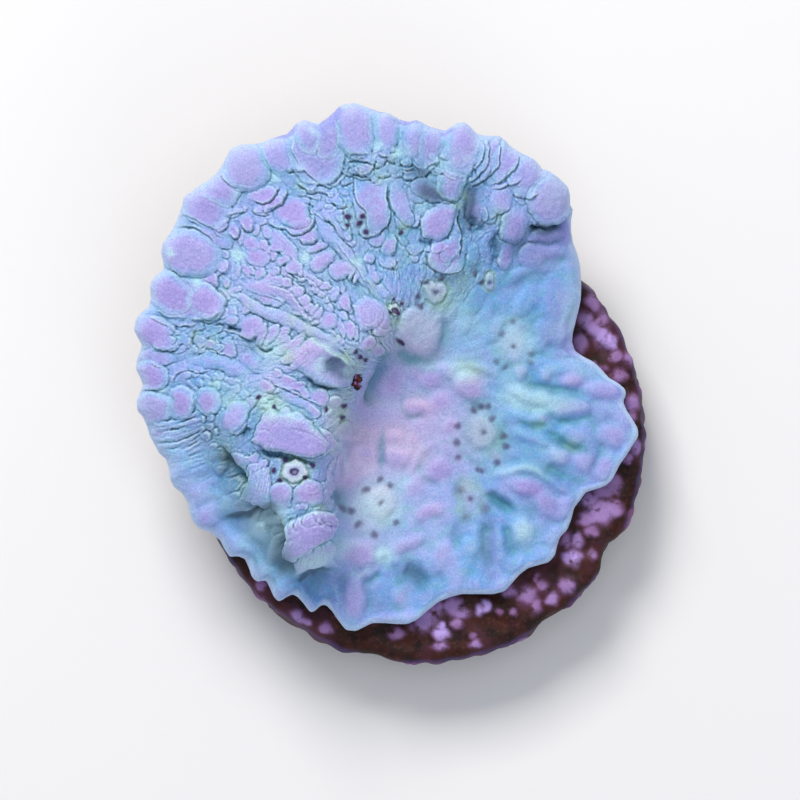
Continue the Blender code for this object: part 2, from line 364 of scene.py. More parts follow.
# rises in millimetres
GROUND_RISE = 0.12
SCALE_RISE = 0.15
RIB_RISE = 0.05
SWELL_RISE = 0.07
radius = np.hypot(map_x - FAN_ORIGIN[0], map_y - FAN_ORIGIN[1])
bearing = np.arctan2(map_y - FAN_ORIGIN[1], map_x - FAN_ORIGIN[0])
round_way = bearing * MIDDLE_RADIUS
wander_a = soft_noise(2.4)
wander_b = soft_noise(2.4)
scale_rise, scale_middle = shingles(
    (radius + 0.4 * wander_a) / SCALE_LONG,
    (round_way + 0.4 * wander_b) / SCALE_WIDE,
    chance.uniform(-JITTER, JITTER, (64, 512, 3)),
)
ribs = np.cos(round_way * 2 * math.pi / RIB_SPACING + 1.8 * wander_a + 1.2 * wander_b)
turn_map = np.arctan2(map_y - COLONY_CENTRE[1], map_x - COLONY_CENTRE[0])
away_map = np.hypot(map_x - COLONY_CENTRE[0], map_y - COLONY_CENTRE[1])
edge_away = polar_lookup(reach, turn_map, None) - away_map
form_map = form_height(map_x, map_y)
fan = smooth_step(form_map, 4.2, 6.0)
inner = smooth_step(edge_away, 1.2, 3.2)
scales_here = fan * inner
ribs_here = 1 - 0.5 * fan
shingled = SCALE_RISE * scale_rise * fan * inner
layers["height"] += GROUND_RISE + shingled + RIB_RISE * ribs * ribs_here
layers["height"] += SWELL_RISE * soft_noise(1.8) + 0.025 * soft_noise(0.5) * (1 - scales_here)
layers["crown"] += 0.5 * scale_middle * fan * inner + 0.3 * (1 - fan)
layers["pink"] += 0.42 + 0.16 * fan + 0.16 * wander_b
print("ground laid; the fan covers", int(fan.mean() * 100), "percent of the map")

# %% [markdown]
# ## Stamps
#
# A few kinds of stamp make every feature. A `lobe` is a rounded pillow, or a scale when its
# shoulders are steep. A `slab` is a block with an outline of its own. A `ridge` follows a
# line, `beads` are a row of small lobes along one, a `groove` is a cut and a `fold` is a
# free edge. Sculpting by hand would give the same forms, but stamps can be measured, moved
# and repeated.
#
# A lobe or slab grows out of the ground on its outer side and ends in a free edge on the
# side towards the colony's middle. So it merges softly there and stands proud here, with
# a narrow dark moat at the foot of the free edge.

# %% Lay a form on the map
FREE_TOWARDS = (-2.0, 6.0)
MOAT = 0.07
MOAT_WIDTH = 0.08


def free_side(x, y, free):
    """The unit direction a free edge faces: a given turn, or else the colony's middle."""
    if free is None:
        way = np.array(FREE_TOWARDS) - (x, y)
        return way / np.linalg.norm(way)
    return np.array([math.cos(math.radians(free)), math.sin(math.radians(free))])


def lay(part, shape, merge, facing, crown, pink, outside):
    """Puts a form on the map where it stands higher. It merges with the ground by its share."""
    ground = layers["height"][part]
    ground -= MOAT * facing * np.exp(-(((outside - 0.04) / MOAT_WIDTH) ** 2)) * (outside > 0)
    raised = ground + (shape - ground) * merge
    wins = (outside < 0) & (raised > ground)
    ground[wins] = raised[wins]
    share = (merge * np.clip(-outside / 0.12, 0, 1))[wins]
    for name, value in (("crown", crown[wins]), ("pink", pink)):
        kept = layers[name][part]
        kept[wins] = kept[wins] * (1 - share) + value * share
    for name in ("dot", "glow", "pale_and_highlight", "eye"):
        layers[name][part][wins] *= 1 - 0.8 * share

# %% [markdown]
# A pillow is the stamp that is used most. Its outline is an ellipse whose sides are a
# little flattened, and its dome is steeper or rounder as its last settings say. It stands
# on the mean height below it, so pillows pile up where they overlap, but not without end.

# %% Stamp pillows
HIGHEST_BASE = 0.45
PILLOW_OUTLINE = 2.3
# the places are read off the crowns, so each pillow is a little larger than it was measured
GROW = 1.08


def oval(away_x, away_y, turn, length, width):
    """Distances from an oval's middle along its length and its width, 1 at its edge."""
    c = math.cos(math.radians(turn))
    s = math.sin(math.radians(turn))
    return (away_x * c + away_y * s) * 2 / length, (away_y * c - away_x * s) * 2 / width


def pillow(*settings):
    """Distance from a pillow's middle, 1 at its outline."""
    u, v = oval(*settings)
    return (np.abs(u) ** PILLOW_OUTLINE + np.abs(v) ** PILLOW_OUTLINE) ** (1 / PILLOW_OUTLINE)


def lobe_at(
    x, y, length, width, turn, rise, pink, steep=2.4, free=None, attach=0.8, tilt=0.35, roll=1.0
):
    """A pillow at a place in millimetres; length lies along turn, in degrees from the right.
    A roll above 1 draws its outer half out by that factor, over the rim's edge."""
    length, width = GROW * length, GROW * width
    span = (0.62 * max(length, width) + 0.3) * roll
    part, away_x, away_y = window_round(x, y, span)
    way = free_side(x, y, free)
    outer = np.maximum(-(away_x * way[0] + away_y * way[1]), 0) * (1 - 1 / roll)
    away_x = away_x + outer * way[0]
    away_y = away_y + outer * way[1]
    q = pillow(away_x, away_y, turn, length, width)
    along = (away_x * way[0] + away_y * way[1]) / np.maximum(np.hypot(away_x, away_y), 1e-6)
    reach_here = along * np.minimum(q, 1)
    ground = layers["height"][part]
    base = float(np.clip(ground[q < 1].mean(), 0, HIGHEST_BASE))
    dome = np.sqrt(np.clip(1 - q**steep, 0, 1))
    shape = base - 0.02 + rise * dome * (1 - tilt + tilt * reach_here)
    merge = 1 - attach * (1 - smooth_step(reach_here, -1.0, -0.25))
    facing = 0.25 + 0.75 * smooth_step(along, -0.3, 0.6)
    outside = (q - 1) * np.maximum(np.hypot(away_x, away_y), 1e-6) / np.maximum(q, 1e-6)
    lay(part, shape, merge, facing, np.clip(1 - q**2, 0, 1), pink, outside)


def lobe(across, down, *settings, **more):
    """A pillow at a photograph place."""
    lobe_at(*spot_of(across, down), *settings, **more)

# %% [markdown]
# A block has an outline of its own, read off the photograph corner by corner. A cell of the
# map is inside when a line from it crosses the outline an odd number of times, and how deep
# inside it lies gives the shoulder its height.

# %% Stamp blocks
def slab(outline, rise, edge=0.5, pink=0.6, free=None, attach=0.5, base=None):
    """A block whose outline is a list of photograph places; edge is its shoulder's width."""
    corners = np.array([spot_of(*corner) for corner in outline])
    low = corners.min(0) - 0.4
    high = corners.max(0) + 0.4
    part = window(low[0], high[0], low[1], high[1])
    x = map_x[part]
    y = map_y[part]
    inside = np.zeros(x.shape, bool)
    nearest = np.full(x.shape, 9.0)
    for (ax, ay), (bx, by) in zip(corners, np.roll(corners, -1, axis=0)):
        side = (bx - ax) ** 2 + (by - ay) ** 2
        along = np.clip(((x - ax) * (bx - ax) + (y - ay) * (by - ay)) / side, 0, 1)
        foot_x = x - ax - along * (bx - ax)
        foot_y = y - ay - along * (by - ay)
        nearest = np.minimum(nearest, np.hypot(foot_x, foot_y))
        crosses = (ay > y) != (by > y)
        inside ^= crosses & (x < ax + (y - ay) * (bx - ax) / (by - ay + 1e-9))
    depth = np.where(inside, nearest, -nearest)
    shoulder = np.clip(depth / edge, 0, 1)
    dome = np.sqrt(np.clip(1 - (1 - shoulder) ** 2, 0, 1))
    middle = (low + high) / 2
    half = (high - low) / 2
    way = free_side(*middle, free)
    half_way = abs(half[0] * way[0]) + abs(half[1] * way[1])
    towards = ((x - middle[0]) * way[0] + (y - middle[1]) * way[1]) / half_way
    if base is None:
        base = float(np.clip(layers["height"][part][inside].mean(), 0, HIGHEST_BASE))
    merge = 1 - attach * (1 - smooth_step(towards, -1.0, -0.2))
    facing = 0.3 + 0.7 * smooth_step(towards, -0.4, 0.5)
    lay(part, base + rise * dome, merge, facing, 0.9 * shoulder, pink, -depth)

# %% [markdown]
# A long form follows a few places read off the photograph. A smooth curve runs through them,
# and each cell of the map then knows how far it is from the curve, and how far along.

# %% Follow a line
LINE_STEP = 0.1


def smooth_line(points):
    """Close points along a smooth curve through photograph places."""
    knots = np.array([spot_of(*point) for point in points])
    before = np.concatenate([2 * knots[:1] - knots[1:2], knots[:-1]])
    after = np.concatenate([knots[1:], 2 * knots[-1:] - knots[-2:-1]])
    slope = (after - before) / 2
    found = []
    for i in range(len(knots) - 1):
        count = max(2, int(np.linalg.norm(knots[i + 1] - knots[i]) / LINE_STEP))
        t = np.arange(count)[:, None] / count
        found.append(
            (2 * t**3 - 3 * t**2 + 1) * knots[i]
            + (t**3 - 2 * t**2 + t) * slope[i]
            + (3 * t**2 - 2 * t**3) * knots[i + 1]
            + (t**3 - t**2) * slope[i + 1]
        )
    return np.concatenate(found + [knots[-1:]])


def line_distance(points, margin):
    """A window round a line, each cell's distance to it, and how far along that is (0 to 1)."""
    low = points.min(0) - margin
    high = points.max(0) + margin
    part = window(low[0], high[0], low[1], high[1])
    x = map_x[part]
    y = map_y[part]
    nearest = np.full(x.shape, 9.0)
    along = np.zeros(x.shape)
    for i, (px, py) in enumerate(points):
        away = np.hypot(x - px, y - py)
        closer = away < nearest
        nearest[closer] = away[closer]
        along[closer] = i / (len(points) - 1)
    return part, nearest, along


def fade_ends(along, share):
    """1 along a line, falling to 0 over a share of it at both ends."""
    return smooth_step(along, 0, share) * smooth_step(1 - along, 0, share)

# %% [markdown]
# Three stamps follow such a line: a long swelling, a row of beads that are each a little
# different, and a cut. A fourth lays colour alone, as a soft round patch.

# %% Stamp ridges, rows of beads and grooves
def ridge(points, width, rise, pink, taper=0.3, sharp=1.0):
    """A long swelling along a line of photograph places, thinner towards both ends."""
    part, away, along = line_distance(smooth_line(points), width)
    ends = fade_ends(along, taper)
    half = width / 2 * (0.4 + 0.6 * ends)
    q = away / half
    dome = np.sqrt(np.clip(1 - q**2, 0, 1))
    base = float(np.clip(layers["height"][part][q < 1].mean(), 0, HIGHEST_BASE))
    shape = base - 0.02 + rise * dome * (0.3 + 0.7 * ends)
    crown = np.clip(1 - q**2, 0, 1) * 0.8
    lay(part, shape, ends**0.5, 0.7 * sharp * ends, crown, pink, away - half)


def beads(points, long, wide, rise, pink):
    """A row of small lobes along a line of photograph places, each a little different."""
    line = smooth_line(points)
    count = max(2, int(len(line) * LINE_STEP / (0.92 * long)))
    for k in range(count):
        i = min(len(line) - 2, int((k + 0.5) / count * (len(line) - 1)))
        way = line[i + 1] - line[i]
        turn = math.degrees(math.atan2(way[1], way[0])) + chance.uniform(-16, 16)
        x, y = line[i] + chance.uniform(-0.07, 0.07, 2)
        grow = chance.uniform(0.88, 1.15, 2)
        rise_here = rise * chance.uniform(0.8, 1.15)
        pink_here = pink + chance.uniform(-0.12, 0.12)
        lobe_at(
            x, y, long * grow[0], wide * grow[1], turn, rise_here, pink_here, steep=4.0, attach=0.4
        )


def groove(points, width, depth):
    """A cut along a line of photograph places, as under a free edge."""
    part, away, along = line_distance(smooth_line(points), 2 * width)
    ends = fade_ends(along, 0.2)
    layers["height"][part] -= depth * ends * np.exp(-((away / (width / 2)) ** 2))


def tint(layer, across, down, size, amount):
    """A soft round patch of one of the map's colour layers."""
    part, away_x, away_y = window_round(*spot_of(across, down), 2 * size)
    raise_to(layer, part, amount * np.exp(-((np.hypot(away_x, away_y) / size) ** 2)))

# %% [markdown]
# Where one layer of tissue ends above the next, its free edge is a step: full height on one
# side of the line, and a narrow dark gap on the other.

# %% Stamp folds
FOLD_BACK = 0.45
FOLD_SHADE = 0.10


def fold(points, rise, back=FOLD_BACK):
    """A free edge along a line: the ground swells on the line's left and drops on its right."""
    line = smooth_line(points)
    part, away, along = line_distance(line, back * 2.2)
    index = np.clip((along * (len(line) - 1)).round().astype(int), 0, len(line) - 2)
    way = line[index + 1] - line[index]
    beyond_x = map_x[part] - line[index][..., 0]
    beyond_y = map_y[part] - line[index][..., 1]
    side = way[..., 0] * beyond_y - way[..., 1] * beyond_x
    ends = fade_ends(along, 0.22)
    beside = (along > 0) & (along < 1)
    raised = (side > 0) * np.exp(-((away / back) ** 2)) * smooth_step(away, -0.03, 0.07)
    sunk = (side <= 0) * np.exp(-((away / FOLD_SHADE) ** 2))
    layers["height"][part] += rise * ends * beside * (raised - 0.55 * sunk)
    layers["crown"][part] += 0.25 * ends * beside * raised

# %% [markdown]
# ## The fan
#
# The fan's long smooth ridges run from the rim towards the crest, and rows of small cells
# fill the furrows between them.

# %% Fan ridges and rows of cells
FAN_RIDGES = [
    ([(236, 284), (255, 286), (278, 289), (296, 300), (312, 318), (318, 330)], 1.35, 0.3, 0.62),
    ([(216, 288), (236, 295), (252, 306), (272, 314), (290, 322), (318, 335), (345, 352), (358, 366)],
     0.85, 0.42, 0.4),
    ([(276, 232), (292, 258), (308, 276), (326, 292), (338, 310)], 0.62, 0.26, 0.5),
    ([(312, 208), (330, 236), (346, 254), (360, 272), (378, 292), (392, 306)], 0.95, 0.4, 0.3),
    ([(318, 198), (332, 213), (344, 230), (352, 246)], 0.95, 0.26, 0.5),
    ([(246, 242), (258, 250), (272, 264)], 1.4, 0.18, 0.7),
    ([(266, 228), (282, 244), (296, 262)], 1.2, 0.2, 0.6),
    ([(322, 210), (336, 226), (344, 240)], 0.5, 0.2, 0.45),
    ([(188, 360), (212, 361), (238, 370), (254, 378)], 1.1, 0.28, 0.42),
    ([(240, 352), (252, 362), (262, 370)], 1.2, 0.2, 0.6),
    ([(280, 395), (296, 399), (310, 406), (322, 416)], 0.95, 0.26, 0.4),
    ([(392, 180), (396, 196), (398, 216)], 0.7, 0.2, 0.4),
    ([(340, 352), (350, 362), (358, 374)], 0.9, 0.3, 0.35),
    ([(376, 280), (384, 292), (392, 300)], 0.5, 0.2, 0.4),
]
for line, width, rise, pink in FAN_RIDGES:
    ridge(line, width, rise, pink)

FAN_ROWS = [
    ([(262, 246), (280, 262), (290, 280), (300, 296), (312, 312), (320, 324)], 0.72, 0.58, 0.2, 0.62),
    ([(270, 272), (286, 286), (304, 302), (318, 316)], 0.66, 0.62, 0.2, 0.62),
    ([(284, 258), (300, 274), (316, 288), (330, 304)], 0.55, 0.5, 0.18, 0.55),
    ([(318, 282), (332, 290), (340, 304), (344, 320)], 0.62, 0.5, 0.2, 0.6),
    ([(250, 262), (262, 268), (276, 278)], 0.75, 0.5, 0.2, 0.62),
    ([(366, 256), (372, 268), (380, 282)], 0.7, 0.6, 0.22, 0.55),
    ([(298, 310), (310, 318), (326, 330), (340, 342)], 0.45, 0.36, 0.16, 0.5),
    ([(336, 216), (346, 232), (356, 248)], 0.6, 0.42, 0.16, 0.4),
    ([(186, 375), (200, 376), (222, 378), (240, 384)], 0.55, 0.42, 0.16, 0.35),
    ([(196, 383), (212, 384), (232, 388), (246, 394)], 0.6, 0.5, 0.18, 0.15),
    ([(192, 350), (208, 352), (224, 356)], 0.55, 0.4, 0.16, 0.3),
    ([(404, 240), (412, 250), (418, 262)], 0.6, 0.55, 0.18, 0.45),
    ([(246, 270), (262, 276), (278, 280), (292, 284)], 0.7, 0.5, 0.18, 0.6),
    ([(326, 256), (338, 262), (350, 268)], 0.5, 0.45, 0.12, 0.6),
    ([(352, 300), (350, 314), (356, 326)], 0.5, 0.36, 0.16, 0.5),
]
for line, long, wide, rise, pink in FAN_ROWS:
    beads(line, long, wide, rise, pink)
print(len(FAN_RIDGES), "fan ridges and", len(FAN_ROWS), "rows of cells")

# %% [markdown]
# Bigger scales and lobes stand among the small ones. Each is its place, length and width in
# millimetres, turn in degrees from the right, rise in millimetres, and how pink it is.

# %% Scales and lobes of the fan
FAN_LOBES = [
    # below the long lobe at the upper left
    (222, 221, 1.15, 1.05, -60, 0.26, 0.62), (234, 213, 1.15, 0.6, 20, 0.2, 0.5),
    (246, 222, 0.95, 0.9, -60, 0.24, 0.62), (233, 231, 1.1, 0.75, -75, 0.24, 0.62),
    (255, 229, 0.75, 0.55, -85, 0.2, 0.5), (241, 238, 1, 0.5, 85, 0.18, 0.45),
    (262, 222, 0.55, 0.5, 0, 0.18, 0.45), (268, 233, 0.9, 0.6, -60, 0.18, 0.55),
    (262, 245, 0.75, 0.7, 0, 0.2, 0.66), (251, 243, 1.3, 0.9, -50, 0.2, 0.68),
    (276, 247, 0.9, 0.7, 0, 0.18, 0.6), (224, 255, 0.6, 0.5, 0, 0.18, 0.6),
    (223, 267, 1, 0.75, 75, 0.26, 0.66), (226, 282, 0.6, 0.5, 60, 0.2, 0.6),
    (209, 281, 1.25, 1.15, 40, 0.26, 0.8), (237, 269, 0.95, 0.42, 85, 0.2, 0.55),
    (244, 269, 1.1, 0.4, -75, 0.2, 0.7), (250, 270, 0.65, 0.42, -60, 0.18, 0.65),
    (259, 273, 1, 0.8, 20, 0.2, 0.6), (235, 289, 0.9, 0.4, 5, 0.18, 0.6),
    (223, 294, 1.15, 0.6, -45, 0.2, 0.55), (256, 257, 1.9, 1.1, -25, 0.2, 0.66),
    # under the big round lobe
    (263, 195, 1.9, 1.1, 8, 0.26, 0.85), (270, 203, 1.8, 0.7, 18, 0.2, 0.75),
    (256, 210, 0.55, 0.4, 0, 0.16, 0.4), (282, 193, 0.8, 0.5, 70, 0.16, 0.4),
    # lens and pillows on the upper fan
    (299, 224, 1.9, 1, 12, 0.22, 0.75), (291, 211, 2.4, 1.9, -5, 0.4, 0.9),
    (307, 235, 1.5, 1, 6, 0.28, 0.78), (317, 247, 1.45, 0.62, 28, 0.3, 0.9),
    (323, 261, 1.8, 1.1, 34, 0.4, 0.98), (343, 269, 1.85, 1.2, 24, 0.38, 0.95),
    (352, 274, 0.95, 0.36, 60, 0.3, 0.85), (357, 277, 1, 0.34, 66, 0.26, 0.85),
    (294, 266, 1.05, 0.9, -15, 0.28, 0.78), (302, 269, 0.95, 0.36, -85, 0.2, 0.6),
    (283, 260, 0.85, 0.62, 20, 0.2, 0.7), (276, 270, 0.5, 0.55, 0, 0.18, 0.5),
    (287, 283, 0.75, 0.62, 0, 0.24, 0.9), (298, 292, 0.8, 0.6, 10, 0.24, 0.85),
    (305, 299, 0.9, 0.7, 20, 0.24, 0.75), (314, 309, 0.75, 0.45, 50, 0.24, 0.7),
    (319, 313, 0.8, 0.5, 60, 0.22, 0.7), (317, 283, 0.75, 0.5, 25, 0.2, 0.7),
    (325, 286, 0.8, 0.45, 25, 0.2, 0.66), (334, 293, 1, 0.66, 85, 0.24, 0.45),
    (342, 289, 0.6, 0.42, 80, 0.2, 0.6), (346, 301, 1.3, 0.72, -84, 0.36, 1),
    (331, 308, 0.62, 0.45, 80, 0.24, 0.4), (329, 321, 1.25, 1.2, 0, 0.36, 0.85),
    (341, 328, 1.3, 0.5, -78, 0.28, 0.72), (349, 329, 1.25, 0.72, -72, 0.36, 1),
    (356, 333, 0.95, 0.36, -80, 0.22, 0.7), (343, 316, 0.75, 0.42, -65, 0.2, 0.45),
    (342, 341, 0.5, 0.4, -30, 0.18, 0.5), (265, 299, 1.3, 0.62, -15, 0.24, 0.7),
    (277, 303, 1, 0.7, -10, 0.26, 0.4), (296, 314, 0.5, 0.3, 5, 0.18, 0.3),
    # left part of the fan
    (187, 342, 0.75, 0.72, 0, 0.26, 0.55), (200, 341, 0.85, 0.78, 0, 0.26, 0.62),
    (209, 344, 0.75, 0.6, 0, 0.24, 0.9), (217, 346, 0.85, 0.5, -60, 0.24, 0.66),
    (228, 350, 1.4, 1, -70, 0.32, 0.75), (251, 327, 1.75, 1.6, 20, 0.44, 0.95),
    (221, 313, 0.9, 0.7, 20, 0.26, 0.6), (231, 311, 0.55, 0.52, 0, 0.24, 0.5),
    (229, 319, 1, 0.66, 5, 0.28, 0.7), (245, 309, 0.75, 0.5, 20, 0.2, 0.66),
    (206, 321, 0.45, 0.34, 10, 0.18, 0.7), (262, 334, 1.65, 0.66, 68, 0.4, 1),
    (272, 334, 1.6, 0.72, 58, 0.38, 0.85), (283, 333, 1.5, 0.62, 55, 0.32, 0.8),
    (294, 342, 1.7, 0.6, 48, 0.34, 0.85), (186, 376, 0.6, 0.55, 10, 0.18, 0.5),
    (194, 374, 0.45, 0.42, 10, 0.18, 0.5),
    # chain of pillows below the snout
    (265, 387, 1.2, 0.7, -22, 0.3, 0.9), (277, 374, 0.7, 0.55, -20, 0.26, 0.8),
    (288, 380, 1.15, 0.72, -14, 0.3, 0.85), (296, 386, 1.15, 0.62, 20, 0.26, 0.85),
    (303, 392, 1, 0.62, -25, 0.24, 0.75), (295, 395, 0.55, 0.4, 0, 0.2, 0.85),
    (320, 397, 1.45, 1.05, -42, 0.34, 0.75), (337, 403, 1.1, 0.72, 5, 0.36, 0.9),
    (312, 411, 1.1, 0.75, -40, 0.3, 0.85),
    # tongues towards the bowl
    (371, 200, 3.6, 2.3, 84, 0.3, 0.72), (376, 206, 1.9, 1.5, 80, 0.14, 0.92),
    (372, 228, 1.7, 1.2, 30, 0.22, 0.45), (407, 204, 3.4, 1.15, 78, 0.28, 0.72),
    (420, 188, 2, 1.5, 80, 0.2, 0.72), (390, 246, 1.3, 1.1, 60, 0.3, 0.85),
    (378, 240, 1.2, 0.8, 20, 0.22, 0.7), (370, 258, 0.66, 0.72, 0, 0.26, 0.7),
    (375, 276, 0.8, 0.6, -60, 0.24, 0.75), (392, 262, 1.4, 0.5, -65, 0.24, 0.6),
    (385, 262, 1.2, 0.45, -50, 0.24, 0.6), (416, 249, 0.9, 0.7, 40, 0.2, 0.6),
    (447, 258, 2.4, 2.2, -40, 0.3, 0.7), (445, 250, 1.8, 1.4, -30, 0.2, 0.8),
    (363, 168, 1.4, 0.9, 6, 0.3, 0.85), (395, 159, 0.66, 0.6, 0, 0.24, 0.2),
    (389, 172, 0.6, 0.55, 0, 0.18, 0.35), (361, 157, 1.4, 0.45, 5, 0.2, 0.72),
    (476, 207, 2.5, 1.2, 86, 0.3, 0.7), (502, 200, 2, 1.4, 76, 0.34, 0.7),
    (515, 226, 2.6, 1.85, 78, 0.46, 0.85), (508, 257, 1.8, 0.95, 80, 0.34, 0.75),
    (490, 212, 1.8, 1, 80, 0.16, 0.35),
]
for across, down, length, width, turn, rise, pink in FAN_LOBES:
    steep = 5.0 if min(length, width) < 0.9 else 3.2
    lobe(across, down, length, width, turn, rise, pink, steep=steep, attach=0.55)
print(len(FAN_LOBES), "scales and lobes on the fan")

# %% [markdown]
# ## The rim
#
# The rim is where the colony grows. Its edge swells into fat smooth lobes, two to four
# millimetres wide, that roll over the edge. They touch one another, and the furrows
# between them are soft.

# %% Rim lobes
RIM_LOBES = [
    (153, 409, 2.6, 2.1, 172, 0.42, 0.9), (180, 403, 2.2, 1.75, 78, 0.4, 0.85),
    (206, 401, 1.95, 1.95, 0, 0.46, 0.9), (253, 399, 1.2, 0.7, 50, 0.2, 0.4),
    (247, 404, 1.3, 0.8, 50, 0.2, 0.5), (233, 418, 2.7, 1.6, 52, 0.6, 0.88),
    (150, 376, 2.6, 1.9, 175, 0.34, 0.85), (158, 357, 2.5, 0.95, 172, 0.28, 0.7),
    (154, 334, 3.3, 2.3, 172, 0.56, 0.9), (186, 299, 5, 2.9, -16, 0.4, 0.7),
    (171, 293, 3, 2.3, -42, 0.3, 0.95), (206, 302, 2.5, 2.2, -30, 0.3, 0.95),
    (190, 255, 4.3, 2.8, -10, 0.66, 0.9), (205, 204, 3.8, 2.9, -38, 0.38, 0.8),
    (222, 189, 2.6, 2.3, -30, 0.28, 0.8), (213, 238, 2.6, 0.9, -28, 0.16, 0.5),
    (246, 168, 3.2, 3, 110, 0.64, 0.9), (279, 154, 2.8, 1.9, 108, 0.42, 0.8),
    (317, 152, 4.3, 3.5, 96, 0.52, 0.75), (307, 134, 2.8, 1.7, 104, 0.24, 0.9),
    (329, 140, 2.6, 1.5, 86, 0.22, 0.85), (356, 130, 3.7, 2.5, 92, 0.64, 0.85),
    (375, 128, 2.8, 0.8, 86, 0.24, 0.2), (387, 130, 2.7, 1.6, 86, 0.44, 0.85),
    (403, 140, 3, 0.8, 90, 0.26, 0.3), (414, 140, 3, 1.3, 90, 0.36, 0.7),
    (432, 147, 3, 1.6, 84, 0.36, 0.75), (445, 148, 2.6, 0.6, 86, 0.24, 0.5),
    (452, 181, 2.9, 2, 70, 0.4, 0.8), (463, 148, 3.9, 2.5, 78, 0.62, 0.85),
    (484, 152, 3.2, 0.55, 78, 0.3, 0.3), (491, 156, 3.4, 0.7, 70, 0.34, 0.75),
    (508, 159, 3.3, 1.7, 60, 0.46, 0.8), (530, 173, 3.4, 2.3, 50, 0.44, 0.75),
    (551, 202, 3.2, 3.1, 40, 0.64, 0.9), (571, 212, 0.6, 0.5, 60, 0.3, 0.8),
]
ROLL_OVER = 2.1
NEAR_EDGE = 2.4
SMALLEST_RINGED = 1.4
STEP_DEPTH = 0.022


def growth_steps_and_edge_light(x, y, length, width, turn):
    """A pale band inside a lobe's edge, partly painted highlight, and two fine steps where it
    has grown in spurts.
    """
    length, width = GROW * length, GROW * width
    part, away_x, away_y = window_round(x, y, 0.6 * max(length, width))
    q = pillow(away_x, away_y, turn, length, width)
    layers["pale_and_highlight"][part] += 0.3 * np.exp(-(((q - 0.9) / 0.09) ** 2))
    layers["pink"][part] *= 1 - 0.3 * np.exp(-(((q - 0.9) / 0.12) ** 2))
    steps = np.exp(-(((q - 0.7) / 0.035) ** 2)) + np.exp(-(((q - 0.9) / 0.03) ** 2))
    layers["height"][part] -= STEP_DEPTH * steps


for across, down, length, width, turn, rise, pink in RIM_LOBES:
    x, y = spot_of(across, down)
    towards = math.atan2(y - COLONY_CENTRE[1], x - COLONY_CENTRE[0])
    away = math.hypot(x - COLONY_CENTRE[0], y - COLONY_CENTRE[1])
    room = float(polar_lookup(reach, np.float64(towards), None)) - away
    roll = ROLL_OVER if room < NEAR_EDGE else 1.0
    lobe_at(x, y, length, width, turn, rise, pink, steep=2.4, attach=0.85, tilt=0.2, roll=roll)
    if width > SMALLEST_RINGED:
        growth_steps_and_edge_light(x, y, length, width, turn)
print(len(RIM_LOBES), "rim lobes")

# %% [markdown]
# Just inside the rim each lobe ends in a stack of thin free edges, one below the other.
# Every line below runs so that its raised side lies on its left.

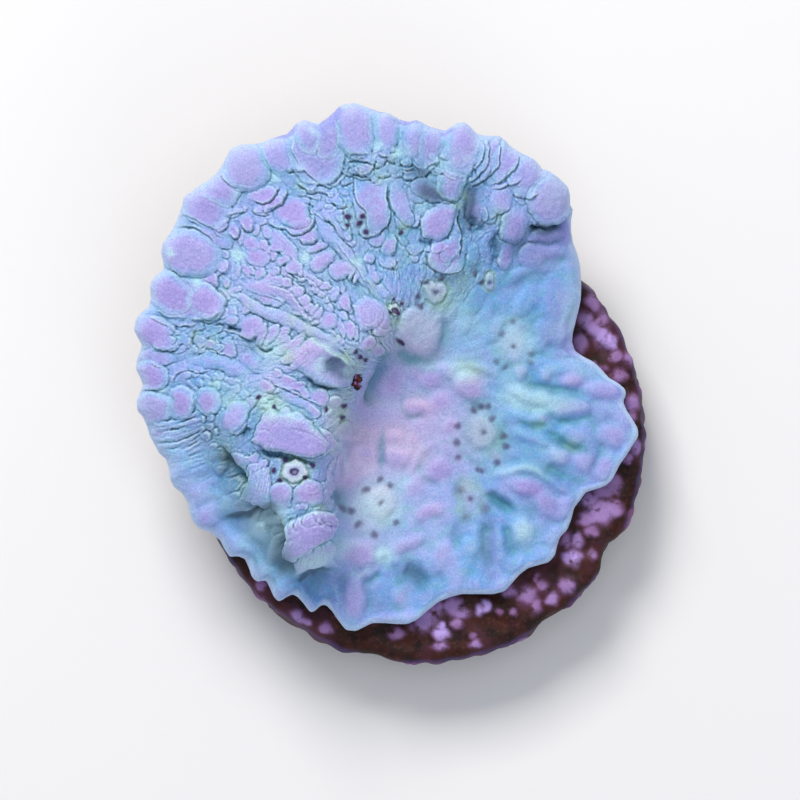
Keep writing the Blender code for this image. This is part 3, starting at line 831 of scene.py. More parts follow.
# %% Free edges inside the rim
RIM_FOLDS = [
    # below the left lobes
    ([(186, 320), (198, 322), (212, 318), (222, 311)], 0.22),
    ([(180, 326), (192, 328), (202, 322)], 0.14),
    ([(148, 347), (162, 351), (174, 349), (183, 341)], 0.24),
    ([(150, 318), (166, 325), (184, 327), (200, 326)], 0.12),
    ([(156, 310), (172, 317), (188, 320)], 0.1), ([(176, 336), (186, 334), (194, 329)], 0.14),
    ([(150, 365), (162, 367), (174, 364)], 0.1),
    ([(172, 389), (176, 378), (186, 372), (198, 372), (212, 370)], 0.16),
    ([(222, 331), (232, 334), (240, 335)], 0.14),
    ([(168, 419), (180, 421), (190, 415), (192, 402), (192, 390)], 0.16),
    ([(194, 411), (205, 417), (218, 413)], 0.16), ([(140, 389), (152, 391), (162, 389)], 0.1),
    ([(191, 347), (198, 349), (206, 349), (214, 352), (222, 355), (232, 360), (240, 360)], 0.14),
    # round the upper left lobes
    ([(216, 289), (218, 279), (225, 272), (229, 262)], 0.18),
    ([(176, 226), (194, 231), (208, 237), (218, 244)], 0.14),
    ([(182, 216), (200, 223), (214, 231), (228, 240)], 0.14),
    ([(213, 229), (222, 232), (228, 227), (230, 217)], 0.2),
    ([(226, 218), (236, 214), (243, 214), (249, 207)], 0.16),
    ([(240, 223), (245, 230), (250, 229), (252, 221)], 0.16),
    ([(228, 232), (233, 239), (238, 236), (240, 226)], 0.18),
    ([(222, 178), (230, 185), (238, 190)], 0.16),
    ([(252, 201), (262, 204), (271, 200), (278, 192), (280, 185)], 0.3),
    ([(256, 208), (265, 212), (275, 208), (284, 199), (287, 188)], 0.24),
    ([(249, 209), (254, 214), (262, 215), (272, 213)], 0.18),
    ([(266, 222), (276, 229), (288, 229)], 0.24),
    ([(283, 227), (290, 233), (297, 235), (306, 231), (313, 222), (315, 210)], 0.32),
    ([(287, 226), (298, 227), (307, 223), (312, 213)], 0.16),
    ([(297, 239), (304, 244), (312, 243), (319, 236)], 0.22),
    ([(168, 270), (178, 275), (190, 277)], 0.14), ([(262, 148), (266, 158), (272, 168)], 0.08),
    ([(292, 143), (295, 155), (299, 166)], 0.12),
    # under the double lobe at the top
    ([(284, 174), (293, 172), (302, 171), (311, 177), (319, 184)], 0.2),
    ([(294, 182), (303, 187), (312, 191), (317, 185), (330, 187), (338, 184)], 0.26),
    ([(303, 188), (315, 191), (326, 194), (335, 199), (343, 204)], 0.24),
    ([(321, 185), (332, 181), (341, 172), (345, 160), (346, 150)], 0.16),
    ([(330, 188), (340, 181), (347, 170), (350, 158)], 0.14),
    ([(306, 181), (312, 184), (316, 181)], 0.12), ([(312, 206), (320, 216), (332, 224)], 0.12),
    ([(326, 196), (338, 208), (346, 214)], 0.12),
    # stacks under the top lobes
    ([(347, 158), (352, 153), (362, 155), (373, 152)], 0.24),
    ([(343, 166), (352, 160), (362, 161), (373, 157)], 0.24),
    ([(351, 166), (356, 173), (364, 174), (372, 168), (374, 160)], 0.3),
    ([(351, 177), (362, 178), (373, 176), (380, 169)], 0.2),
    ([(342, 173), (348, 171), (354, 175)], 0.24), ([(344, 179), (350, 176), (354, 178)], 0.2),
    ([(342, 186), (347, 183), (351, 178)], 0.14), ([(371, 155), (380, 152), (390, 154)], 0.18),
    ([(371, 159), (379, 156), (384, 159), (392, 158)], 0.26),
    ([(372, 164), (378, 160), (384, 162), (391, 159)], 0.3),
    ([(380, 168), (384, 165), (388, 167)], 0.14),
    ([(398, 164), (405, 167), (412, 166), (416, 161)], 0.2),
    ([(399, 168), (406, 171), (413, 169)], 0.22), ([(399, 172), (406, 175), (413, 172)], 0.22),
    ([(400, 176), (407, 179), (415, 176)], 0.18), ([(390, 168), (397, 172), (402, 167)], 0.18),
    ([(411, 166), (420, 169), (430, 166), (442, 163)], 0.2),
    ([(411, 171), (420, 174), (431, 171), (440, 166)], 0.32),
    ([(412, 176), (419, 179), (425, 174)], 0.22),
    ([(440, 168), (443, 175), (450, 180), (459, 181)], 0.1),
    ([(426, 187), (433, 195), (442, 199), (452, 201), (459, 199)], 0.3),
    ([(432, 197), (441, 204), (450, 206), (456, 203)], 0.2),
    # right-hand leaves of the rim
    ([(463, 183), (473, 174), (481, 163), (484, 150), (481, 138)], 0.2),
    ([(464, 188), (476, 178), (487, 166), (490, 151), (486, 138)], 0.2),
    ([(468, 191), (485, 180), (496, 168), (500, 153), (495, 139)], 0.24),
    ([(488, 186), (503, 180), (514, 172), (519, 160), (517, 148)], 0.24),
    ([(492, 190), (506, 187), (516, 184), (522, 178)], 0.24),
    ([(511, 194), (521, 199), (530, 198), (540, 194)], 0.26),
    ([(528, 227), (545, 230), (560, 227), (571, 217)], 0.4),
    ([(484, 222), (494, 218), (506, 213), (510, 204)], 0.14),
]
for line, rise in RIM_FOLDS:
    fold(line, rise)
print(len(RIM_FOLDS), "free edges inside the rim")

# %% [markdown]
# Free edges also cross the fan's middle, where long tongues of tissue reach towards the
# bowl and lie over one another.

# %% Free edges across the fan
FAN_FOLDS = [
    # tongues
    ([(353, 178), (355, 194), (360, 207), (368, 214)], 0.22),
    ([(388, 230), (390, 215), (389, 200), (387, 183)], 0.28),
    ([(366, 215), (374, 219), (384, 214)], 0.14),
    ([(360, 240), (372, 236), (382, 231), (388, 224)], 0.2),
    ([(392, 183), (396, 178), (398, 172)], 0.1), ([(400, 200), (403, 212), (409, 224)], 0.12),
    ([(409, 228), (417, 226), (418, 214)], 0.2), ([(427, 214), (440, 212), (452, 208)], 0.08),
    ([(424, 263), (436, 270), (449, 276), (459, 272), (464, 262)], 0.26),
    ([(424, 250), (436, 254), (448, 248), (456, 236)], 0.18),
    ([(388, 255), (396, 250), (398, 240), (393, 233)], 0.2),
    ([(388, 272), (394, 268), (400, 260)], 0.16),
    ([(457, 262), (463, 240), (458, 222), (459, 206)], 0.3),
    ([(478, 228), (486, 220), (488, 205)], 0.16),
    # middle of the fan
    ([(318, 331), (312, 319), (300, 304), (285, 289), (262, 283)], 0.14),
    ([(340, 316), (326, 296), (308, 280), (292, 274)], 0.12),
    ([(330, 240), (344, 254), (358, 272), (374, 292)], 0.1),
    ([(262, 296), (274, 299), (286, 308)], 0.12), ([(257, 345), (264, 349), (274, 347)], 0.26),
    ([(236, 334), (246, 339), (258, 336)], 0.26), ([(287, 358), (294, 353), (303, 349)], 0.24),
    ([(264, 392), (272, 394), (282, 391)], 0.14),
    ([(274, 386), (284, 389), (294, 394), (304, 398), (316, 403), (328, 406)], 0.2),
    ([(226, 433), (234, 437), (243, 431), (247, 420)], 0.2),
    ([(262, 378), (270, 384), (280, 387)], 0.12), ([(198, 434), (204, 444), (209, 436)], 0.14),
    ([(230, 468), (238, 466), (243, 460)], 0.12),
]
for line, rise in FAN_FOLDS:
    fold(line, rise)
print(len(FAN_FOLDS), "free edges across the fan")

# %% [markdown]
# ## Blocks along the crest
#
# Along the crest the tissue ends in blocks that look cut with a knife. They overhang the
# bowl, and the light hardly reaches the gaps below them.

# %% Crest blocks
SNOUT = [
    (286, 356), (293, 345), (310, 337), (334, 344), (350, 358), (356, 372), (352, 386), (336, 389),
    (318, 385), (302, 373), (290, 366),
]
WHORL = [
    (353, 305), (364, 296), (378, 297), (389, 306), (391, 318), (394, 331), (386, 338), (376, 337),
    (374, 330), (360, 332), (354, 322),
]
LONG_BLOCK = [
    (256, 427), (262, 416), (274, 411), (292, 412), (308, 419), (320, 430), (328, 442), (325, 452),
    (313, 458), (292, 455), (268, 449), (249, 443),
]
BLOCK_FLAP = [(322, 427), (333, 431), (339, 441), (333, 451), (324, 457)]
CUT_BLOCK = [
    (418, 219), (426, 210), (444, 203), (457, 205), (455, 219), (447, 236), (437, 242), (424, 237),
]
UPPER_TOOTH = [
    (283, 526), (298, 516), (316, 511), (334, 514), (339, 524), (332, 536), (314, 549), (296, 561),
    (286, 561), (281, 550), (284, 538),
]
LOWER_TOOTH = [
    (291, 563), (310, 551), (332, 539), (342, 545), (339, 556), (326, 567), (306, 575), (296, 576),
]
RIBBED_FLAP = [
    (250, 452), (262, 456), (269, 470), (270, 488), (269, 507), (262, 510), (250, 506), (239, 500),
    (246, 482),
]
LEDGE = [(232, 500), (244, 497), (258, 506), (252, 512), (238, 515), (229, 511)]
slab(SNOUT, 0.56, 0.9, 0.95)
slab(WHORL, 0.42, 0.5, 0.7)
slab(BLOCK_FLAP, 0.42, 0.3, 0.7, attach=0.2)
slab(LONG_BLOCK, 0.62, 0.42, 0.95, attach=0.1, base=0.3)
slab(CUT_BLOCK, 0.5, 0.5, 0.9, free=-70)
slab(RIBBED_FLAP, 0.36, 0.3, 0.55, free=-90)
slab(LOWER_TOOTH, 0.40, 0.3, 0.75, free=-60, attach=0.2)
slab(UPPER_TOOTH, 0.55, 0.35, 0.9, free=-60, attach=0.2, base=0.3)
slab(LEDGE, 0.16, 0.3, 0.5, free=-90)

CREST_LOBES = [
    (318, 371, 1.7, 1, 76, 0.34, 0.8), (288, 346, 2.2, 0.62, 30, 0.26, 0.9),
    (293, 354, 2, 0.62, 34, 0.28, 0.9), (299, 361, 1.5, 0.6, 38, 0.26, 0.9),
    (281, 341, 1.2, 0.6, 26, 0.22, 0.85), (270, 418, 1.1, 0.9, 50, 0.14, 0.9),
    (284, 416, 1.2, 0.9, 80, 0.16, 0.9), (297, 420, 1.1, 0.9, 110, 0.16, 0.9),
    (308, 427, 1.1, 0.8, 130, 0.16, 0.9), (317, 437, 1.1, 0.8, 140, 0.14, 0.9),
    (300, 442, 3, 1.3, -14, 0.16, 1), (262, 440, 1.4, 1, 40, 0.12, 0.8),
    (370, 345, 1.15, 0.95, 30, 0.34, 0.95), (382, 352, 0.9, 0.8, 30, 0.24, 0.8),
    (278, 497, 2, 1.7, 70, 0.36, 0.85), (310, 493, 2.3, 1.85, 20, 0.42, 0.8),
    (312, 490, 1.1, 0.6, -10, 0.12, 0.95), (297, 507, 0.5, 0.4, 0, 0.16, 0.8),
    (304, 507, 0.6, 0.4, 0, 0.16, 0.8), (213, 457, 0.9, 0.75, 20, 0.26, 0.3),
    (235, 462, 1.3, 1.05, 0, 0.28, 0.75), (217, 470, 0.8, 0.9, 0, 0.24, 0.3),
    (204, 438, 0.7, 0.66, 30, 0.24, 0.55), (199, 419, 0.42, 0.4, 0, 0.22, 0.4),
    (208, 419, 0.6, 0.45, 10, 0.24, 0.4), (226, 490, 1.2, 1.1, 0, 0.22, 0.3),
    (298, 523, 0.9, 0.42, 80, 0.16, 0.9), (309, 522, 0.9, 0.5, 60, 0.14, 0.9),
    (290, 526, 0.6, 0.4, 70, 0.12, 0.9), (322, 530, 1, 0.7, 60, 0.16, 0.9),
    (330, 520, 1.2, 0.45, -30, 0.14, 0.95), (290, 542, 0.5, 0.35, 60, 0.1, 0.9),
    (308, 556, 1.3, 0.5, 62, 0.14, 0.7), (316, 555, 1.3, 0.4, 62, 0.12, 0.7),
    (301, 562, 1.1, 0.36, 60, 0.12, 0.7), (372, 316, 1.5, 1.35, 60, 0.14, 0.9),
    (368, 317, 0.8, 0.7, 60, 0.12, 0.95), (383, 322, 0.8, 0.5, -60, 0.1, 0.85),
]
for across, down, length, width, turn, rise, pink in CREST_LOBES:
    lobe(across, down, length, width, turn, rise, pink, steep=4.0, attach=0.4)
print(len(CREST_LOBES), "lobes on the crest")

# %% [markdown]
# The flap beside the crest is pleated: six fine ribs run down it, each a step on from the
# last. Fine dark cuts part the blocks, and a pit lies in the snout-shaped one.

# %% Pleats, cuts and the pit
def repeat_line(line, steps, count):
    """Copies of a line of places; from one copy to the next each place moves by its own step."""
    for k in range(count):
        yield [(x + across * k, y + down * k) for (x, y), (across, down) in zip(line, steps)]


FLAP_RIB = [(249, 456), (254, 468), (256, 480), (254, 496)]
FLAP_STEPS = [(3.4, 2), (2.8, 2), (2.6, 2), (2.6, 1)]
FLAP_RIBS = 6
for rib in repeat_line(FLAP_RIB, FLAP_STEPS, FLAP_RIBS):
    fold(rib, 0.07, back=0.16)
DEEP_CUTS = [
    ([(290, 518), (288, 526), (291, 534)], 0.16, 0.14),
    ([(297, 515), (294, 524), (297, 533)], 0.16, 0.16),
    ([(304, 513), (303, 522), (308, 529)], 0.16, 0.16),
    ([(312, 512), (314, 520), (320, 526)], 0.16, 0.14),
    ([(318, 516), (322, 524), (331, 527), (338, 522)], 0.2, 0.16),
    ([(306, 528), (318, 525), (326, 530)], 0.16, 0.09), ([(300, 565), (303, 556)], 0.14, 0.12),
    ([(307, 567), (311, 555)], 0.14, 0.14), ([(315, 566), (318, 553)], 0.14, 0.14),
    ([(323, 562), (325, 550)], 0.14, 0.12), ([(246, 474), (248, 462), (253, 456)], 0.14, 0.12),
    ([(252, 477), (254, 465), (260, 460)], 0.14, 0.12),
    ([(258, 480), (261, 468), (266, 464)], 0.14, 0.12),
    ([(256, 448), (275, 454), (296, 460), (318, 465)], 0.42, 0.7),
    ([(300, 374), (314, 385), (328, 389), (346, 391)], 0.36, 0.6),
    ([(530, 228), (545, 230), (560, 228)], 0.5, 0.55),
    ([(258, 347), (266, 350), (274, 349)], 0.3, 0.45),
    ([(412, 174), (420, 176), (430, 173)], 0.26, 0.35),
    ([(242, 502), (256, 511), (270, 515)], 0.4, 0.5),
    ([(222, 455), (227, 468), (236, 480), (240, 490)], 0.7, 0.4),
    ([(296, 580), (312, 577), (332, 571)], 0.6, 0.45),
    ([(224, 326), (232, 328), (240, 332)], 0.4, 0.45),
    ([(418, 239), (428, 243), (436, 244)], 0.3, 0.35), ([(371, 378), (374, 392), (371, 408)], 0.9, 0.3),
    ([(458, 208), (460, 224), (464, 240)], 0.6, 0.3), ([(236, 437), (244, 434), (248, 428)], 0.4, 0.4),
    ([(468, 219), (474, 223), (470, 228)], 0.5, 0.35), ([(338, 492), (346, 500), (342, 508)], 0.8, 0.3),
    ([(470, 411), (478, 408), (486, 407)], 0.6, 0.22),
    ([(533, 424), (542, 425), (550, 427)], 0.4, 0.22),
    ([(560, 438), (574, 446), (588, 452)], 0.4, 0.12),
    ([(490, 492), (500, 503), (514, 509)], 0.7, 0.25),
    ([(412, 358), (422, 364), (434, 365)], 0.5, 0.25),
    ([(284, 170), (290, 172), (298, 168)], 0.24, 0.2), ([(212, 325), (224, 327), (236, 330)], 0.3, 0.3),
]
for line, width, depth in DEEP_CUTS:
    groove(line, width, depth)
PIT = (334, 366)
PIT_WIDE = 0.95
PIT_DEEP = 0.75
part, away_x, away_y = window_round(*spot_of(*PIT), 2)
layers["height"][part] -= PIT_DEEP * np.exp(-((np.hypot(away_x, away_y) / PIT_WIDE) ** 2))
print(len(DEEP_CUTS), "deep cuts and a pit")

# %% [markdown]
# ## The bowl and the creeping margin
#
# The bowl's floor is soft and swollen, with few edges. Towards the right and the bottom it
# runs out in broad low folds to a thin scalloped margin.

# %% Margin folds
# the places of each fold, its width and rise in millimetres, and how pink it is
MARGIN_FOLDS = [
    ([(498, 384), (520, 393), (545, 399), (566, 400), (588, 402)], 1.1, 0.5, 0.05),
    ([(487, 479), (508, 472), (530, 470), (548, 477), (562, 488), (577, 498)], 0.9, 0.55, 0.1),
    ([(500, 410), (522, 416), (548, 428), (566, 434)], 0.9, 0.34, 0.1),
    ([(508, 430), (530, 436), (552, 446), (560, 452)], 0.8, 0.34, 0.2),
    ([(455, 545), (462, 560), (470, 578)], 1.1, 0.3, 0.2),
    ([(420, 548), (428, 566), (432, 584)], 1.1, 0.3, 0.3),
    ([(497, 522), (500, 540), (504, 560), (508, 576)], 0.9, 0.3, 0.2),
    ([(478, 520), (478, 540), (480, 560)], 1, 0.3, 0.25),
    ([(536, 512), (545, 530), (550, 550)], 1, 0.24, 0.4),
    ([(508, 360), (530, 362), (556, 368), (580, 372), (606, 380)], 1.1, 0.36, 0.1),
    ([(596, 402), (612, 412), (630, 430)], 1, 0.3, 0.5),
    ([(632, 440), (622, 456), (612, 474)], 0.9, 0.3, 0.4),
    ([(340, 455), (334, 470), (338, 486)], 0.4, 0.16, 0.8),
    ([(348, 452), (342, 470), (346, 490)], 0.4, 0.16, 0.8),
    ([(356, 462), (352, 476), (356, 488)], 0.4, 0.16, 0.8),
    ([(404, 366), (422, 374), (446, 368)], 1, 0.26, 0.9),
    ([(380, 360), (372, 376), (366, 396), (364, 416)], 0.8, 0.3, 0.6),
    ([(466, 360), (476, 366), (492, 372), (506, 380)], 0.6, 0.24, 0.1),
    ([(330, 580), (336, 596), (340, 610)], 0.7, 0.3, 0.1),
    ([(222, 532), (234, 545), (246, 556)], 0.8, 0.3, 0.5),
    ([(148, 424), (166, 428), (184, 426), (202, 419)], 0.5, 0.24, 0.5),
    ([(153, 440), (172, 438), (190, 430), (204, 425)], 0.5, 0.26, 0.45),
    ([(158, 448), (176, 445), (190, 441), (198, 444)], 0.45, 0.2, 0.6),
    ([(164, 456), (184, 452), (204, 451)], 0.6, 0.16, 0.4),
    ([(170, 466), (190, 464), (208, 462)], 0.6, 0.16, 0.5),
    ([(171, 478), (190, 474), (212, 468)], 0.6, 0.22, 0.3),
    ([(178, 490), (200, 487), (222, 482)], 0.55, 0.2, 0.4),
    ([(188, 502), (206, 499), (226, 494)], 0.5, 0.2, 0.6),
    ([(191, 514), (206, 507), (220, 502)], 0.5, 0.22, 0.5),
    ([(196, 526), (212, 522), (224, 514)], 0.5, 0.22, 0.6),
    ([(374, 548), (374, 562), (366, 574), (354, 578)], 0.28, 0.2, 0.3),
    ([(379, 550), (379, 566), (370, 579), (356, 582)], 0.28, 0.18, 0.3),
    ([(330, 556), (338, 566), (352, 572)], 0.4, 0.2, 0.2),
    ([(412, 366), (430, 370), (452, 364)], 0.5, 0.2, 0.3),
    ([(440, 440), (425, 450), (414, 468), (412, 484)], 0.6, 0.2, 0.7),
    ([(336, 418), (350, 436), (372, 444)], 0.5, 0.2, 0.6),
    ([(462, 300), (466, 320), (462, 342)], 0.9, 0.24, 0.15),
    ([(486, 300), (490, 322), (484, 350)], 0.8, 0.24, 0.15),
    ([(506, 290), (520, 275), (540, 268), (566, 270)], 0.9, 0.3, 0.3),
    ([(470, 240), (474, 256), (468, 270)], 0.8, 0.24, 0.1),
    ([(566, 276), (576, 296), (576, 318), (570, 340)], 0.8, 0.4, 0.35),
    ([(524, 318), (534, 334), (528, 350)], 0.5, 0.24, 0.1),
]
for line, width, rise, pink in MARGIN_FOLDS:
    ridge(line, width, rise, pink, sharp=0.3)
print(len(MARGIN_FOLDS), "folds of the margin")

# %% [markdown]
# Knobs and pillows rise from the bowl's floor and stand between the folds. They are
# rounder than the fan's, with hardly a free edge.

# %% Bowl knobs
BOWL_LOBES = [
    (421, 332, 3.3, 2.9, 70, 0.6, 0.9), (398, 457, 1.9, 1.3, -15, 0.34, 1),
    (440, 470, 1.7, 1.5, 50, 0.34, 1), (367, 455, 1.5, 1.2, 0, 0.28, 0.95),
    (393, 438, 1.3, 0.9, 20, 0.24, 0.8), (470, 388, 2.4, 1.6, -30, 0.4, 0.9),
    (416, 410, 2.6, 1.2, 0, 0.26, 0.9), (430, 512, 2.2, 1, 14, 0.24, 0.9),
    (407, 545, 2.6, 1, 26, 0.34, 0.95), (360, 556, 2.5, 2.1, 0, 0.46, 0.8),
    (354, 600, 3.2, 1.6, 86, 0.44, 0.85), (445, 558, 2.4, 1.9, 80, 0.34, 0.7),
    (524, 532, 1.7, 1.8, 0, 0.5, 0.3), (522, 374, 1.2, 0.9, 30, 0.4, 0.9),
    (546, 374, 1.1, 0.8, -60, 0.44, 0.8), (573, 381, 1.7, 1.1, 14, 0.46, 1),
    (604, 391, 2.9, 1.2, -10, 0.48, 0.85), (570, 409, 3.2, 1.3, -2, 0.5, 0.55),
    (582, 408, 1.5, 0.9, -8, 0.2, 0.75), (541, 418, 1.2, 0.9, -10, 0.4, 0.75),
    (578, 437, 2.5, 1.3, -20, 0.46, 0.5), (612, 436, 2.2, 1.6, -6, 0.5, 0.8),
    (587, 460, 1.6, 1.7, -30, 0.5, 0.7), (561, 457, 1.6, 1.3, -30, 0.46, 0.75),
    (440, 402, 1.8, 1.4, 40, 0.2, 0.9), (395, 384, 2.4, 1.5, 60, 0.28, 0.9),
    (352, 482, 1.6, 1, 60, 0.2, 0.9), (452, 425, 1.2, 1, 10, 0.2, 0.7),
    (560, 295, 3.9, 2.6, 78, 0.4, 0.3), (556, 330, 2.8, 1.9, 10, 0.34, 0.55),
    (530, 300, 2.6, 1.4, 50, 0.3, 0.2), (545, 255, 3.4, 1.5, 12, 0.4, 0.5),
    (548, 238, 2.4, 1, 8, 0.34, 0.7), (456, 577, 2.4, 1.6, 75, 0.36, 0.5),
    (240, 547, 1.9, 1.5, -50, 0.4, 0.35), (262, 571, 1.7, 1.4, -20, 0.44, 0.55),
    (284, 589, 1.5, 1.3, -20, 0.44, 0.5), (312, 600, 2, 1.2, -20, 0.44, 0.45),
    (256, 530, 1.6, 1.2, 80, 0.42, 0.15), (269, 524, 0.9, 0.7, 0, 0.3, 0.5),
    (271, 556, 2.4, 1, 80, 0.26, 0.6), (385, 603, 1.8, 1.5, 0, -0.2, 0.4),
    (402, 596, 1.5, 1.4, 60, 0.34, 0.8), (392, 617, 2.4, 0.8, 4, 0.3, 0.6),
    (530, 488, 3.4, 1.3, -14, 0.5, 1), (550, 505, 2.4, 1.6, -50, 0.4, 0.8),
    (564, 506, 1.8, 1.1, 70, 0.4, 0.6), (430, 380, 1.8, 1.2, 0, 0.24, 0.85),
    (605, 467, 2, 1.2, 60, 0.36, 0.75), (600, 412, 1.4, 0.9, 80, 0.2, 0.6),
    (554, 537, 1.6, 1.2, 60, 0.36, 0.5), (541, 555, 1.5, 1.1, 10, 0.3, 0.4),
    (516, 562, 1.8, 1.2, 40, 0.3, 0.3), (500, 583, 1.6, 1.1, 20, 0.3, 0.45),
    (476, 583, 1.9, 1, 0, 0.26, 0.35), (430, 590, 2, 1.1, 30, 0.26, 0.3),
    (412, 612, 1.5, 1, 20, 0.3, 0.5), (335, 612, 1.2, 1, -40, 0.3, 0.4),
    (470, 550, 1.7, 1.4, 60, 0.3, 0.1), (413, 490, 1.9, 1.3, 30, 0.2, 0.55),
    (382, 556, 0.8, 0.7, 0, 0.3, 0.1), (425, 478, 1.2, 1, 0, 0.16, 0.5),
    (348, 432, 1.3, 1, 60, 0.2, 0.7), (449, 372, 1.6, 1.2, 10, 0.3, 0.4),
    (495, 330, 1.8, 1, 70, 0.3, 0.2), (540, 345, 1.9, 1.2, 30, 0.26, 0.4),
    (478, 300, 2.2, 1.1, 60, 0.2, 0.2), (578, 342, 1.2, 0.9, 40, 0.3, 0.9),
    (500, 425, 1.4, 0.8, 70, 0.2, 0.2), (160, 434, 1.5, 0.6, 6, 0.18, 0.85),
    (192, 482, 1.3, 0.6, 10, 0.2, 0.95), (208, 515, 1.6, 1.1, 60, 0.24, 0.85),
    (225, 505, 1.1, 1.1, 0, 0.3, 0.2), (229, 487, 0.9, 0.9, 0, 0.24, 0.1),
    (216, 469, 0.7, 0.9, 0, 0.24, 0.3), (178, 458, 1.4, 1.1, 20, 0.2, 0.4),
    (184, 470, 1.4, 0.9, 20, 0.2, 0.5), (200, 495, 1.6, 1.1, 20, 0.2, 0.75),
]
for across, down, length, width, turn, rise, pink in BOWL_LOBES:
    lobe(across, down, length, width, turn, rise, pink, steep=2.8, attach=0.6, tilt=0.15)
print(len(BOWL_LOBES), "lobes of the bowl and the margin")

# %% [markdown]
# The shaded flank at the left is ruffled like a curtain, in two runs of fine ridges. Each
# run is one line of places, repeated with a step.

# %% Ruffles of the left flank
UPPER_RUFFLE = [(150, 424), (168, 425), (186, 418), (203, 412)]
UPPER_STEPS = [(2.5, 5), (2, 5), (1, 5), (0, 5)]
LOWER_RUFFLE = [(166, 458), (185, 456), (204, 449)]
LOWER_STEPS = [(2.1, 4.8), (1.7, 4.5), (1.3, 4.2)]
UPPER_COUNT = 7
LOWER_COUNT = 14
for ruffle in repeat_line(UPPER_RUFFLE, UPPER_STEPS, UPPER_COUNT):
    ridge(ruffle, 0.26, 0.062, 0.5, sharp=0.8)
for ruffle in repeat_line(LOWER_RUFFLE, LOWER_STEPS, LOWER_COUNT):
    ridge(ruffle, 0.2, 0.045, 0.45, sharp=0.6)
print("ruffles of", UPPER_COUNT, "and", LOWER_COUNT, "ridges")

# %% [markdown]
# Below the top lobes lie stacks of tiny scales, too many to place one by one. They fall at
# random inside a few boxes, and always in the same places, because the random numbers
# start from a seed.

# %% Stacks of tiny scales
# left, right, top and bottom of each box in the photograph, and how many scales it holds
STACKS = [
    (344, 392, 150, 182, 46), (392, 446, 156, 182, 42), (300, 350, 186, 214, 26),
    (166, 232, 326, 352, 30),
]
stack_chance = np.random.default_rng(23)
for left, right, top, bottom, count in STACKS:
    for _ in range(count):
        across = stack_chance.uniform(left, right)
        down = stack_chance.uniform(top, bottom)
        size = stack_chance.uniform(0.28, 0.5)
        turn = stack_chance.uniform(-30, 30)
        lobe(across, down, size * 1.4, size, turn, 0.13, 0.3, steep=5.0, attach=0.3)
print(sum(stack[-1] for stack in STACKS), "tiny scales in", len(STACKS), "stacks")

# %% [markdown]
# Last come small curls of tissue at the fan's lower end, and the furrows that part the low
# margin's folds.

# %% Curls and furrows
CURLS = [
    (210, 450, 0.7, 0.5, 40, 0.2, 0.4), (214, 459, 0.9, 0.6, 0, 0.24, 0.5),
    (217, 471, 0.6, 0.5, -30, 0.2, 0.4), (228, 486, 1, 0.6, 60, 0.2, 0.4),
    (231, 498, 0.9, 0.6, 10, 0.2, 0.4), (207, 427, 0.6, 0.5, 0, 0.24, 0.5),
    (212, 433, 0.5, 0.5, 0, 0.22, 0.4), (200, 429, 0.5, 0.4, 0, 0.2, 0.4),
    (252, 520, 1, 0.7, 70, 0.3, 0.3), (263, 518, 0.9, 0.6, 60, 0.26, 0.3),
    (259, 530, 1, 0.8, 80, 0.3, 0.25), (378, 217, 2, 1.7, 70, 0.22, 0.85),
    (402, 205, 3, 1.05, 110, 0.26, 0.85), (427, 190, 2.4, 1.2, 150, 0.24, 0.85),
    (441, 258, 1.8, 1.4, 60, 0.2, 0.85), (452, 248, 2.2, 0.9, 60, 0.2, 0.85),
    (263, 401, 0.6, 0.45, 20, 0.2, 0.6), (269, 397, 0.5, 0.4, 0, 0.2, 0.6),
    (277, 401, 0.6, 0.5, 40, 0.2, 0.6), (267, 409, 0.5, 0.45, 0, 0.2, 0.5),
    (246, 461, 0.9, 0.6, 20, 0.2, 0.7), (254, 458, 0.9, 0.5, 40, 0.18, 0.7),
    (262, 464, 0.9, 0.5, 60, 0.18, 0.7), (251, 467, 0.9, 0.45, 20, 0.18, 0.6),
    (259, 473, 1, 0.45, 30, 0.16, 0.6),
]
for across, down, length, width, turn, rise, pink in CURLS:
    lobe(across, down, length, width, turn, rise, pink, steep=3.0, attach=0.4)
